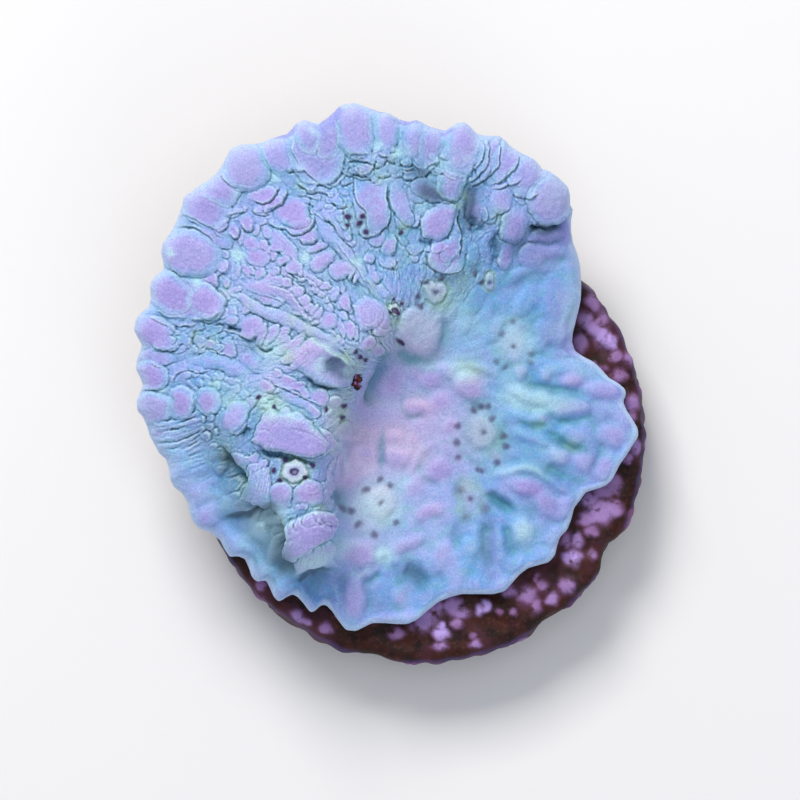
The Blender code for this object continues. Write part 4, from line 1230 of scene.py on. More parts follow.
LOW_CUTS = [
    ([(392, 366), (380, 380), (373, 395), (371, 408)], 0.6, 0.4),
    ([(402, 354), (408, 363), (420, 366)], 0.5, 0.4), ([(384, 438), (383, 455), (384, 470)], 0.4, 0.26),
    ([(408, 419), (418, 419), (428, 412)], 0.35, 0.2),
    ([(488, 521), (485, 540), (489, 558), (493, 572)], 0.8, 0.45),
    ([(508, 524), (509, 540), (514, 552), (528, 556)], 0.6, 0.4),
    ([(486, 491), (496, 503), (508, 509), (520, 507)], 0.7, 0.5),
    ([(530, 424), (540, 427), (550, 427)], 0.35, 0.4),
    ([(556, 440), (570, 446), (584, 452), (594, 451)], 0.35, 0.3),
    ([(560, 420), (576, 421), (592, 417)], 0.35, 0.25),
    ([(597, 404), (596, 425), (601, 448), (594, 478)], 0.7, 0.22),
    ([(546, 466), (556, 474), (566, 484)], 0.8, 0.35),
    ([(520, 386), (540, 388), (562, 393), (590, 398)], 0.6, 0.3),
    ([(405, 570), (418, 578), (428, 586)], 1.1, 0.5), ([(362, 580), (372, 582), (383, 574)], 0.5, 0.4),
    ([(345, 575), (343, 590), (346, 606)], 0.4, 0.3), ([(366, 580), (368, 596), (368, 612)], 0.4, 0.3),
    ([(225, 517), (233, 519), (246, 516), (260, 509)], 0.45, 0.5),
    ([(262, 510), (271, 522), (277, 540), (281, 556)], 0.7, 0.6),
    ([(281, 560), (286, 568), (292, 576)], 0.7, 0.6), ([(308, 584), (318, 586), (330, 576)], 0.9, 0.5),
    ([(250, 560), (256, 574), (262, 584)], 0.4, 0.35),
    ([(272, 578), (274, 588), (276, 596)], 0.4, 0.35),
    ([(296, 590), (298, 598), (304, 608)], 0.45, 0.35),
    ([(327, 598), (330, 608), (336, 618)], 0.45, 0.35),
    ([(222, 448), (222, 462), (231, 476), (240, 490)], 0.9, 0.5),
    ([(460, 520), (458, 540), (452, 556)], 0.7, 0.3), ([(395, 560), (398, 580), (414, 600)], 0.6, 0.3),
    ([(500, 232), (496, 250), (498, 268)], 0.5, 0.35),
    ([(470, 226), (478, 232), (484, 226)], 0.5, 0.35),
    ([(540, 264), (556, 260), (572, 262)], 0.4, 0.25), ([(532, 244), (550, 246), (568, 244)], 0.4, 0.3),
    ([(560, 345), (572, 352), (588, 364)], 0.5, 0.25), ([(462, 478), (458, 492), (462, 510)], 0.4, 0.2),
    ([(440, 488), (430, 484), (424, 474)], 0.4, 0.2), ([(436, 345), (446, 335), (446, 318)], 0.5, 0.3),
]
for line, width, depth in LOW_CUTS:
    groove(line, width, depth)
print(len(CURLS), "curls and", len(LOW_CUTS), "furrows")

# %% [markdown]
# ## Polyps
#
# Each polyp is an eye: a swollen pale disc with a slit mouth, and round it a ring of dark
# purple spots where its tentacles are drawn in. The tissue beside a polyp glows
# yellow-green.

# %% Stamp a polyp
def polyp(across, down, wide, high, dots, bright, glow, dot_size, soft):
    """A polyp's disc at a place, its size in millimetres, and the places of its dark spots."""
    part, away_x, away_y = window_round(*spot_of(across, down), 2.4)
    q = np.hypot(away_x * 2 / wide, away_y * 2 / high)
    around = np.arctan2(away_y, away_x)
    uneven = 0.07 * np.sin(3 * around + across) + 0.05 * np.sin(7 * around + down)
    q = q * (1 + np.minimum(q, 1) * uneven)
    ground = layers["height"][part]
    level = float(np.median(ground[q < 1.0]))
    disc = np.clip(1 - q**4, 0, 1)
    slit = np.hypot(away_x / 0.21, away_y / 0.17)
    mouth = np.exp(-(slit**2))
    rise = level + (0.1 + 0.14 * np.sqrt(disc) - 0.2 * mouth) * (1 - 0.5 * soft)
    inside = smooth_step(1.05 - q, 0, 0.12 + 0.3 * soft)
    ground += (rise - ground) * inside - 0.16 * (1 - soft) * np.exp(-(((q - 1.12) / 0.12) ** 2))
    layers["crown"][part] += (0.6 - layers["crown"][part]) * inside
    layers["pink"][part] += (0.8 - layers["pink"][part]) * inside
    pale_ring = 0.25 + 0.75 * smooth_step(q, 0.25, 0.85)
    raise_to("eye", part, bright * pale_ring * smooth_step(1.0 - q, 0, 0.25 + 0.5 * soft))
    lips = np.exp(-(((slit - 1.0) / 0.4) ** 2)) + 0.45 * mouth if not soft else 0.8 * mouth
    raise_to("dot", part, 0.95 * lips)
    raise_to("glow", part, glow * np.exp(-(((q - 1.1) / (0.16 + 0.3 * soft)) ** 2)))
    for spot in dots:
        dark_dot(*spot, dot_size, soft)


def dark_dot(across, down, size, soft=0.0):
    """A drawn-in tentacle: a small dark purple wart in a pale ring."""
    part, away_x, away_y = window_round(*spot_of(across, down), 1.2)
    away = np.hypot(away_x, away_y) / (size / 2 * 1.25)
    wart = 0.09 * np.exp(-(away**2)) - 0.05 * np.exp(-(((away - 1.3) / 0.4) ** 2))
    layers["height"][part] += wart
    dark = 1 - smooth_step(away, 0.75 - 0.7 * soft, 1.2 + 0.7 * soft)
    raise_to("dot", part, (1 - 0.5 * soft) * dark)
    raise_to("glow", part, 0.3 * (1 - soft) * np.exp(-(((away - 1.6) / 0.5) ** 2)))

# %% [markdown]
# The photograph shows a few polyps sharply and others only as blurred pale spots, which
# are softer here as well. Some dark spots stand alone between them.

# %% Polyp eyes
# Place, width and height (mm), spots, brightness, glow, spot size (mm), softness
POLYPS = [
    (295, 471, 1.9, 1.45, [
        (285, 460), (273, 469), (278, 479), (305, 478), (314, 466),
    ], 1.0, 1.0, 0.34, 0.0),
    (437, 293, 1.5, 1.5, [
        (428, 284), (443, 281), (420, 297), (423, 307),
    ], 0.7, 0.6, 0.34, 0.4),
    (397, 310, 0.9, 0.9, [
        (395, 299), (405, 303), (392, 314), (400, 313),
    ], 0.7, 0.9, 0.26, 0.0),
    (491, 284, 0.7, 1.2, [
        (475, 274), (483, 282),
    ], 0.35, 0.8, 0.3, 0.4),
    (514, 347, 2.2, 3.0, [
        (514, 322), (502, 335), (498, 362), (505, 368), (533, 355), (532, 363),
    ], 0.22, 0.35, 0.36, 0.9),
    (483, 433, 2.0, 2.6, [
        (474, 411), (481, 407), (488, 407), (494, 420), (503, 437), (507, 446), (497, 462), (483, 471),
        (479, 470), (458, 458), (458, 443), (459, 427),
    ], 0.32, 0.15, 0.4, 0.6),
    (381, 504, 2.2, 2.4, [
        (380, 480), (367, 490), (355, 510), (348, 508), (361, 525), (375, 535), (396, 525), (391, 487),
    ], 0.45, 0.2, 0.42, 0.6),
    (470, 500, 1.5, 2.2, [
        (460, 490), (484, 510), (466, 518),
    ], 0.12, 0.5, 0.5, 1.0),
]
for settings in POLYPS:
    polyp(*settings)
STRAY_SIZE = 0.32
STRAY_DOTS = [
    (358, 352), (363, 357), (369, 361), (402, 346), (348, 408), (346, 419), (328, 411), (402, 233),
    (258, 396), (273, 407), (346, 216), (346, 225), (361, 217), (366, 232), (358, 223),
]
for across, down in STRAY_DOTS:
    dark_dot(across, down, STRAY_SIZE)
print(len(POLYPS), "polyps and", len(STRAY_DOTS), "stray spots")

# %% [markdown]
# Small round patches come next: a yellow-green glow where tissue is thin, and pale spots
# that are mostly painted highlights. Each is a place, a size in millimetres and an amount.

# %% Glowing patches, and pale ones that are mostly painted highlights
GLOWS = [
    (268, 404, 0.9, 0.8), (272, 412, 0.5, 0.8), (262, 402, 0.4, 0.6), (392, 307, 0.5, 0.8),
    (398, 325, 0.45, 0.7), (360, 366, 0.6, 0.8), (372, 352, 0.4, 0.5), (266, 411, 0.45, 0.9),
    (352, 396, 0.45, 0.7), (346, 414, 0.4, 0.7), (323, 506, 0.35, 0.7), (336, 450, 0.4, 0.5),
    (404, 227, 0.4, 0.9), (457, 205, 0.4, 0.7), (380, 178, 0.45, 0.6), (361, 172, 0.3, 0.3),
    (288, 356, 0.4, 0.8), (308, 328, 0.6, 0.7), (334, 338, 0.4, 0.5), (350, 355, 0.5, 0.7),
    (292, 320, 0.5, 0.6), (250, 305, 0.5, 0.4), (226, 290, 0.4, 0.5), (372, 288, 0.6, 0.5),
    (356, 268, 0.5, 0.3), (472, 368, 0.9, 0.7), (442, 306, 0.8, 0.7), (430, 286, 0.7, 0.5),
    (196, 334, 0.5, 0.5), (212, 338, 0.4, 0.5), (230, 400, 0.6, 0.5), (462, 282, 0.9, 0.5),
    (394, 268, 0.5, 0.3), (574, 446, 0.5, 0.5), (540, 424, 0.5, 0.5), (464, 196, 0.4, 0.4),
    (245, 400, 0.5, 0.5), (498, 218, 0.7, 0.4), (214, 383, 0.4, 0.6), (262, 350, 0.4, 0.3),
    (300, 186, 0.4, 0.4), (345, 205, 0.3, 0.4), (512, 345, 1, 0.25), (205, 348, 0.6, 0.3),
    (268, 392, 0.3, 0.5), (374, 168, 0.3, 0.4), (396, 236, 0.4, 0.4), (410, 258, 0.5, 0.3),
    (430, 264, 0.5, 0.4), (392, 160, 0.3, 0.5), (312, 504, 0.3, 0.3), (385, 520, 0.9, 0.3),
    (560, 405, 0.8, 0.25),
]
PALE_AND_HIGHLIGHT_PLACES = [
    (266, 402, 0.5, 0.9), (272, 412, 0.45, 0.8), (279, 405, 0.4, 0.7), (262, 394, 0.3, 0.6),
    (285, 409, 0.5, 0.5), (237, 255, 0.42, 1), (275, 177, 0.42, 0.9), (359, 261, 0.36, 0.9),
    (306, 256, 0.4, 0.9), (196, 282, 0.45, 0.7), (397, 153, 0.4, 0.7), (163, 390, 0.36, 0.7),
    (174, 254, 0.22, 1), (237, 194, 0.4, 0.6), (273, 350, 0.9, 0.8), (292, 414, 0.6, 0.6),
    (316, 426, 0.5, 0.5), (372, 156, 0.4, 0.4), (344, 152, 0.5, 0.4), (378, 144, 0.4, 0.5),
    (405, 152, 0.6, 0.5), (440, 162, 0.3, 0.7), (314, 134, 0.3, 0.6), (422, 207, 0.6, 0.5),
    (328, 130, 0.3, 0.5), (400, 515, 0.9, 0.3), (386, 556, 0.7, 0.6), (516, 392, 1.1, 0.5),
    (540, 402, 0.9, 0.4), (525, 532, 0.8, 0.5), (268, 364, 0.7, 0.4), (216, 381, 0.4, 0.6),
    (204, 381, 0.3, 0.4), (283, 512, 0.6, 0.5), (274, 520, 0.5, 0.4), (299, 167, 0.35, 0.5),
    (452, 270, 0.4, 0.2), (470, 325, 0.9, 0.4), (460, 372, 0.8, 0.4), (318, 366, 0.4, 0.5),
    (254, 163, 0.3, 0), (375, 128, 0.5, 0.35), (480, 145, 0.5, 0.4), (230, 300, 0.5, 0.4),
    (520, 342, 0.9, 0.35), (315, 507, 0.4, 0.5), (345, 210, 0.4, 0.2), (330, 345, 0.5, 0.4),
    (352, 265, 0.5, 0.3), (402, 250, 0.5, 0.2),
]
for layer, patches in (("glow", GLOWS), ("pale_and_highlight", PALE_AND_HIGHLIGHT_PLACES)):
    for patch in patches:
        tint(layer, *patch)
    print(len(patches), "patches of", layer)

# %% [markdown]
# Over the single features lie broad washes of colour: the bowl is pinkish lilac, the right
# side is blue and teal, and the shaded flanks are a deeper green-blue, painted shade. Some
# washes of the other colours are painted light and shade too.

# %% Lay a wash
def wash(layer, ovals):
    """Adds soft ovals to a layer: place, length, width (mm), turn in degrees, and amount."""
    for across, down, long, wide, turn, amount in ovals:
        x, y = spot_of(across, down)
        u, v = oval(map_x - x, map_y - y, turn, long, wide)
        on_ground = 1 - 0.7 * layers["crown"] if layer == "pink" and amount < 0 else 1
        layers[layer] += amount * on_ground * np.exp(-0.7 * (u**2 + v**2))
    print(len(ovals), "washes of", layer)

# %% [markdown]
# Pink is the fan's own tint and fades from the right side of the colony, so most of its
# washes there take some away. A warm lilac-white lies where growing tissue is thickest, and
# in a few places it is painted light, lifting tissue that the lamps leave in shade.

# %% Pink and lilac-white washes, the lilac-white partly painted light
PINK_WASHES = [
    (405, 430, 9, 8, 0, 0.55), (340, 470, 3.6, 3, 70, 0.3), (350, 530, 4, 4, 0, 0.15),
    (545, 395, 9, 6, 0, -0.45), (478, 315, 6, 5, 0, -0.45), (515, 350, 5, 5, 0, -0.3),
    (545, 445, 6, 4, 0, -0.4), (225, 478, 2.8, 5, 70, -0.5), (265, 535, 5, 4, 0, -0.4),
    (425, 580, 5, 3, 0, -0.35), (520, 545, 5, 4, 0, -0.35), (470, 245, 4, 3.5, 0, -0.45),
    (210, 335, 3.2, 2, 0, -0.25), (205, 380, 3.2, 2, 0, -0.3), (345, 215, 3, 3, 0, -0.2),
    (300, 590, 4, 2.5, 0, -0.3), (400, 250, 3.6, 3.6, 0, -0.25), (385, 510, 3.5, 4, 0, -0.3),
    (335, 590, 1.4, 3, 90, -0.4), (270, 395, 3, 2, 0, -0.2), (300, 185, 3, 1.6, -20, -0.2),
    (475, 555, 3, 3, 0, -0.3), (490, 440, 2.2, 3.2, 0, -0.35), (470, 500, 2.4, 2.4, 0, -0.3),
    (250, 270, 8, 8, 0, 0.18), (310, 250, 7, 6, 0, 0.18), (446, 256, 2.2, 2.4, 0, 0.25),
]
wash("pink", PINK_WASHES)
WARM_AND_LIGHT_WASHES = [
    (393, 440, 1.8, 1.2, 0, 0.8), (360, 435, 3, 2, 0, 0.4), (412, 448, 2.4, 1, -40, 0.5),
    (366, 466, 1.6, 1, 0, 0.5), (342, 490, 2.4, 1.4, 60, 0.5), (470, 380, 2.4, 1.6, 0, 0.3),
    (418, 404, 1.6, 1, 0, 0.5), (380, 493, 1.2, 0.8, 0, 0.6), (430, 510, 1.8, 1, 0, 0.35),
    (376, 335, 2, 2, 0, 0.3), (495, 455, 1.2, 1, 0, 0.4), (300, 300, 8, 6, 0, 0.2),
    (573, 380, 1.2, 0.8, 0, 0.35), (345, 350, 1.5, 1.5, 0, 0.2), (400, 410, 7, 7, 0, 0.12),
    (381, 504, 1.8, 2, 0, 0.5), (483, 433, 1.2, 1.6, 0, 0.3), (300, 345, 2.4, 1.6, 30, 0.3),
    (421, 332, 3, 2.6, 0, 0.75), (392, 455, 3.2, 3, 0, 0.25), (308, 352, 2.2, 1.4, 30, 0.3),
    (337, 418, 1.4, 3.6, 0, 0.6), (365, 525, 2.2, 5.2, 0, 0.45), (420, 358, 3.2, 1.3, 0, 0.5),
    (270, 385, 2.8, 2.2, 0, 0.3), (392, 352, 1.8, 1.2, 0, 0.3), (355, 460, 2.4, 3.2, 0, 0.5),
    (304, 493, 3, 1.6, 0, 0.35), (420, 430, 7, 6, 0, 0.5),
]
wash("warm_and_painted_light", WARM_AND_LIGHT_WASHES)

# %% [markdown]
# Violet gathers on the crowns of the lower folds and on the bowl's knobs. In the gaps
# between the rim's lobes and on some shaded slopes it is painted shade.

# %% Violet washes, partly painted shade
VIOLET_AND_SHADE_WASHES = [
    (398, 458, 1.8, 1.2, 0, 0.7), (440, 470, 1.5, 1.4, 0, 0.6), (520, 484, 3.6, 1.1, -10, 0.55),
    (488, 548, 1, 3.6, 0, 0.6), (550, 236, 3.6, 1.8, 8, 0.8), (566, 350, 3, 1.4, -40, 0.5),
    (516, 222, 1.8, 2, 0, 0.35), (520, 190, 3, 1.6, -30, 0.4), (345, 580, 1.4, 2, 0, 0.2),
    (552, 205, 2.4, 2.4, 0, 0.25), (210, 518, 1.6, 1.6, 0, 0.4), (162, 434, 1.8, 0.8, 0, 0.4),
    (195, 480, 2.4, 1.2, 0, 0.3), (438, 378, 1, 1, 0, 0.4), (330, 121, 1.6, 0.8, 20, 0.8),
    (288, 136, 1.2, 0.7, 20, 0.8), (405, 122, 2, 0.7, 0, 0.7), (447, 133, 1.2, 0.6, 0, 0.7),
    (172, 272, 1.2, 0.7, 0, 0.3), (150, 318, 1.2, 0.6, 0, 0.3), (545, 512, 2.4, 1.6, -60, 0.4),
    (246, 165, 2, 1.8, 0, 0.2), (322, 150, 2.4, 1.4, 90, 0.3), (600, 470, 2.2, 1.6, 60, 0.3),
    (612, 436, 1.8, 1.2, 0, 0.35), (600, 395, 2.4, 1.2, 0, 0.35), (357, 128, 1.8, 1.6, 0, 0.2),
    (546, 268, 2, 0.8, 0, 0.4), (575, 345, 1.4, 1.4, 0, 0.5), (550, 245, 3, 0.8, 8, 0.3),
    (520, 252, 2.8, 1.8, 0, 0.4), (484, 244, 1.6, 3, 0, 0.3), (292, 434, 4, 1.6, 12, 0.5),
    (330, 128, 1.6, 1, 0, 0.3), (573, 381, 1.8, 1.1, 14, 0.6), (582, 408, 1.8, 1, -8, 0.6),
    (587, 460, 1.5, 1.5, 0, 0.5), (561, 457, 1.5, 1.2, 0, 0.5), (578, 437, 1.8, 0.9, -20, 0.35),
    (604, 391, 2.4, 1, -10, 0.4), (541, 418, 1.1, 0.8, 0, 0.4), (546, 374, 1.1, 0.9, 0, 0.35),
    (560, 505, 2, 1.2, 60, 0.5), (430, 382, 1.6, 1, 0, 0.4), (367, 455, 1.4, 1.1, 0, 0.5),
    (430, 512, 1.8, 0.8, 14, 0.4), (407, 545, 2, 0.9, 26, 0.5), (356, 597, 2.2, 1.2, 86, 0.4),
    (540, 298, 2.4, 1.2, 60, 0.25), (385, 112, 2.2, 0.9, 0, 0.9), (440, 126, 1.4, 0.9, 0, 0.9),
    (412, 118, 1.2, 0.9, 0, 0.8), (332, 116, 1.4, 1, 0, 0.8), (284, 134, 1.6, 1, 30, 0.8),
    (292, 130, 1, 1, 0, 0.6), (372, 454, 0.9, 0.8, 0, 0.35), (402, 456, 1.2, 0.8, -15, 0.4),
    (446, 470, 0.9, 1.2, 30, 0.4), (316, 360, 2.4, 1.6, 30, 0.35), (552, 240, 2.2, 1.8, 20, 0.35),
    (422, 332, 2.4, 2.2, 0, 0.35), (262, 545, 2.6, 3, 0, 0.3), (317, 156, 3, 3.2, 0, 0.45),
    (612, 392, 2.4, 2, -30, 0.2), (492, 560, 1.2, 4.6, 0, 0.4), (488, 530, 0.9, 2.4, 0, 0.3),
    (318, 561, 3, 1.2, 22, 0.9), (568, 320, 1.2, 3.4, 0, 0.4), (300, 446, 3.4, 1.1, -8, 0.5),
    (322, 580, 2.6, 1.2, 0, 0.6), (398, 457, 2.2, 1.5, 0, 0.4), (440, 470, 1.9, 1.7, 0, 0.4),
    (346, 590, 1.6, 3.4, 0, 0.35),
]
wash("violet_and_painted_shade", VIOLET_AND_SHADE_WASHES)

# %% [markdown]
# Pale blue-white lies where the tissue is thin or swollen tight: along the folds' crests,
# round the polyps, and as small stars between the fan's scales. Much of it is painted light:
# highlights on the crests and stars, and lifts where the lamps leave tissue in shade.

# %% Pale washes, with painted highlights
PALE_AND_HIGHLIGHT_WASHES = [
    (530, 402, 3.4, 1.3, -8, 0.7), (372, 506, 2, 2.4, 0, 0.6), (382, 556, 1, 0.8, 0, 0.9),
    (405, 482, 2.4, 1.2, 30, 0.35), (520, 470, 4, 0.8, 4, 0.45), (512, 340, 3.2, 3.2, 0, 0.4),
    (524, 532, 1.2, 1.6, 0, 0.5), (345, 545, 1.8, 1.2, 0, 0.4), (475, 552, 2.2, 1.4, 60, 0.3),
    (462, 372, 1.4, 1.4, 0, 0.5), (484, 432, 1.8, 2.4, 0, 0.15), (550, 372, 1, 1, 0, 0.4),
    (590, 372, 3.6, 1, -24, 0.4), (460, 325, 2.6, 4, 0, 0.3), (552, 452, 1.8, 1, -20, 0.4),
    (440, 170, 2, 2, 0, 0.15), (224, 506, 1.4, 1.4, 0, 0.4), (256, 532, 1.4, 1.8, 0, 0.3),
    (572, 300, 1, 4, 0, 0.35), (390, 182, 1.4, 2, 0, 0.2), (230, 400, 2, 0.8, 30, 0.4),
    (296, 414, 3, 0.6, 12, 0.35), (425, 326, 2.4, 2.4, 0, 0.22), (551, 195, 2.4, 1.6, 0, 0.18),
    (452, 160, 2, 2.4, 0, 0.16), (356, 122, 2.4, 1.6, 0, 0.16), (318, 142, 2, 1.6, 0, 0.14),
    (415, 330, 2, 2.4, 0, 0.3), (190, 462, 2.6, 3.4, 20, 0.22), (400, 470, 3.4, 2.6, 0, 0.12),
    (436, 530, 3, 2.6, 0, 0.2), (262, 545, 3, 2.8, 0, 0.25), (380, 505, 2.4, 2.4, 0, 0.35),
    (422, 332, 2.6, 2.4, 0, 0.18), (190, 255, 3, 2, 0, 0.12), (552, 200, 2.2, 2, 0, 0.2),
    (337, 418, 1.4, 3.6, 0, 0.45), (266, 524, 2.8, 3, 0, 0.36), (422, 360, 2.8, 1, 0, 0.25),
    (232, 385, 2.4, 1.4, 0, 0.25), (175, 255, 0.42, 0.42, 0, 1), (237, 254, 0.55, 0.6, 0, 1),
    (197, 282, 0.5, 0.4, 0, 0.8), (303, 258, 0.5, 0.5, 0, 0.6), (358, 262, 0.5, 0.45, 0, 0.7),
    (377, 145, 0.6, 0.4, 0, 0.6), (396, 153, 0.45, 0.4, 0, 0.9), (315, 134, 0.5, 0.4, 0, 0.5),
    (470, 157, 0.7, 0.5, 0, 0.4), (247, 165, 1.8, 2.2, 20, 0.22), (152, 408, 1.8, 1.4, 0, 0.22),
    (317, 561, 3.2, 1.3, 22, 1), (568, 320, 1.2, 3.4, 0, 0.35), (400, 546, 2.8, 2, 0, 0.22),
    (168, 450, 2.4, 2.6, 0, 0.3), (300, 290, 7, 5, 0, 0.14), (317, 371, 1, 1.6, 0, 0.35),
]
wash("pale_and_highlight", PALE_AND_HIGHLIGHT_WASHES)

# %% [markdown]
# Two greens lie in the low places. The yellow-green glow is the same pigment as round the
# polyps, and the teal of the valleys is partly the tissue's own tint and partly painted
# shade, for tissue that gets little light.

# %% Green washes, the teal partly painted shade
GLOW_WASHES = [
    (342, 414, 1.2, 2, 30, 0.5), (376, 404, 1.8, 0.8, 0, 0.25), (386, 516, 1.6, 1.2, 0, 0.35),
    (474, 370, 2.2, 0.7, -14, 0.5), (560, 405, 3, 0.7, 0, 0.2), (468, 494, 1, 1.6, 0, 0.35),
    (350, 428, 1.6, 1.4, 0, 0.35), (500, 442, 0.8, 1.6, 0, 0.3), (450, 300, 2.4, 1.6, 0, 0.35),
    (324, 508, 1.2, 0.8, 0, 0.3), (278, 352, 1.6, 1.4, 0, 0.35), (384, 336, 1.8, 1.2, 60, 0.35),
    (272, 402, 1.8, 0.8, 0, 0.5), (222, 452, 1, 1.6, 0, 0.35), (240, 484, 0.9, 2.2, 0, 0.4),
    (484, 430, 2.2, 3, 0, 0.25),
]
wash("glow", GLOW_WASHES)
TEAL_TINT_AND_SHADE_WASHES = [
    (226, 466, 1.5, 3.4, 20, 0.9), (243, 490, 1, 2, 0, 0.7), (395, 168, 4.4, 1.2, 0, 0.6),
    (350, 162, 1.2, 1.8, 0, 0.5), (428, 188, 2.4, 1.4, 0, 0.5), (452, 302, 3, 1.4, 0, 0.6),
    (478, 272, 1.8, 1.6, 0, 0.5), (466, 190, 0.8, 1.8, 0, 0.5), (500, 218, 1.6, 1, 0, 0.6),
    (574, 446, 2.4, 0.6, -20, 0.7), (542, 426, 1.8, 0.6, 0, 0.7), (540, 470, 4, 0.9, -10, 0.4),
    (498, 502, 2, 0.8, -30, 0.6), (488, 522, 1, 2.4, 0, 0.4), (345, 505, 1.2, 1.6, 0, 0.5),
    (502, 442, 1, 2, 0, 0.5), (446, 342, 0.9, 1.6, 30, 0.5), (405, 362, 2.4, 0.9, -20, 0.5),
    (256, 346, 2.4, 0.8, 0, 0.6), (208, 345, 2.6, 1, -10, 0.5), (222, 388, 3, 1, 0, 0.4),
    (256, 522, 2.6, 1.4, 0, 0.5), (276, 548, 1.2, 2.4, 20, 0.6), (404, 238, 1.6, 3, 0, 0.4),
    (362, 224, 2.2, 1.8, 0, 0.5), (535, 275, 3.4, 1, 14, 0.4), (416, 578, 2.4, 1.4, 0, 0.4),
    (205, 428, 1.4, 2.2, 0, 0.4), (380, 250, 2.4, 2.4, 0, 0.25), (300, 188, 2.6, 1, -20, 0.35),
    (470, 240, 1.4, 3.4, 0, 0.35), (440, 270, 1.6, 1.6, 0, 0.25), (482, 433, 3, 4, 0, 0.3),
    (542, 392, 4.2, 1.4, -12, 0.4), (540, 430, 5, 3, 0, 0.16), (266, 560, 2.6, 3.2, -30, 0.6),
]
wash("teal_tint_and_shade", TEAL_TINT_AND_SHADE_WASHES)

# %% [markdown]
# Some hollows are darker than the lamps alone make them, because real tissue soaks up light
# that bounces about in a hollow. A blue-grey shade stands for that.

# %% Shaded places
SHADE_WASHES = [
    (532, 246, 4, 1.8, 6, 0.35), (290, 432, 3.2, 0.9, 12, 0.14), (218, 462, 1.4, 3, 20, 0.3),
    (345, 372, 0.9, 1.2, 0, 0.4), (250, 548, 3.4, 1.4, -40, 0.2), (300, 596, 3, 1, -30, 0.2),
    (470, 205, 1, 3, 0, 0.3), (478, 432, 1.6, 1.6, 0, 0.2), (550, 238, 1.6, 1.2, 20, 0.2),
    (212, 208, 2.4, 2, -38, 0.16), (371, 200, 2.6, 1.6, 84, 0.14), (484, 436, 2.2, 2.2, 0, 0.14),
    (470, 203, 1.8, 2.6, 0, 0.7), (417, 165, 3.6, 2.4, 0, 0.5), (428, 192, 2.2, 1.4, -20, 0.75),
    (192, 320, 2, 1.5, 0, 0.25), (315, 228, 2.2, 1.8, 0, 0.16), (610, 425, 1.4, 3.2, 0, 0.16),
    (317, 156, 2.8, 3, 0, 0.16), (470, 490, 1.6, 2, 0, 0.14), (262, 556, 2.2, 1.2, -50, 0.25),
    (337, 366, 2.3, 1.9, 0, 1), (345, 500, 1.2, 1.6, 0, 0.45), (378, 386, 0.9, 3.2, -30, 0.5),
    (411, 361, 2, 0.9, -20, 0.4), (383, 455, 0.5, 2.4, 0, 0.35), (545, 229, 2.8, 0.8, 4, 0.95),
    (488, 556, 0.9, 2.2, 0, 0.5), (416, 577, 2.4, 1.4, -10, 0.55), (382, 602, 2, 1.8, 0, 0.4),
    (319, 582, 2.8, 1.4, 10, 0.7), (272, 532, 1.2, 3.8, 20, 0.75), (286, 566, 1.3, 1.5, 0, 0.8),
    (262, 512, 3, 1, 20, 1), (277, 548, 1.2, 3, 20, 0.4), (238, 506, 1.4, 0.8, 0, 0.6),
    (230, 518, 1.4, 0.6, 0, 0.6), (222, 464, 1, 2.6, 10, 0.6), (236, 484, 0.9, 1.6, 20, 0.5),
    (545, 470, 4.4, 1.6, -24, 0.3), (500, 503, 2, 0.8, -30, 0.55), (540, 387, 4.4, 0.9, -6, 0.25),
    (597, 430, 0.9, 5, 0, 0.12), (574, 447, 2.6, 0.4, -16, 0.3), (540, 426, 1.4, 0.4, -4, 0.3),
    (514, 246, 2.2, 1, 0, 0.45), (497, 250, 0.7, 2.8, 0, 0.5), (480, 226, 1.2, 1, 0, 0.4),
    (466, 228, 1.2, 2.4, 0, 0.3), (556, 330, 3, 2, 0, 0.25), (545, 515, 1.6, 2.4, -30, 0.25),
    (508, 545, 0.7, 2, 0, 0.3), (435, 196, 1.6, 1, 0, 0.35), (395, 190, 0.6, 1.6, 0, 0.3),
    (480, 184, 2.4, 1, 40, 0.3), (240, 437, 1.8, 0.9, 20, 0.6), (205, 425, 2.4, 1, 0, 0.35),
    (226, 328, 2.4, 0.7, -10, 0.5), (256, 345, 2, 0.8, 0, 0.5), (260, 452, 2.6, 0.7, -14, 0.6),
    (320, 388, 3.2, 0.7, -16, 0.6), (478, 408, 1.2, 0.5, 20, 0.4), (344, 495, 1, 2, 0, 0.3),
    (176, 428, 3, 0.6, 0, 0.25), (396, 375, 1.2, 1.2, 0, 0.3), (440, 344, 1.8, 0.8, 40, 0.3),
    (346, 165, 0.8, 1.6, 0, 0.4), (362, 172, 1.6, 0.5, 0, 0.4), (420, 172, 2, 0.5, 0, 0.4),
    (408, 256, 1.4, 2.4, 0, 0.2), (462, 500, 0.8, 2.4, 0, 0.25), (410, 575, 1.4, 2.4, 30, 0.25),
    (470, 285, 1.6, 2, 0, 0.25),
]
wash("shade", SHADE_WASHES)
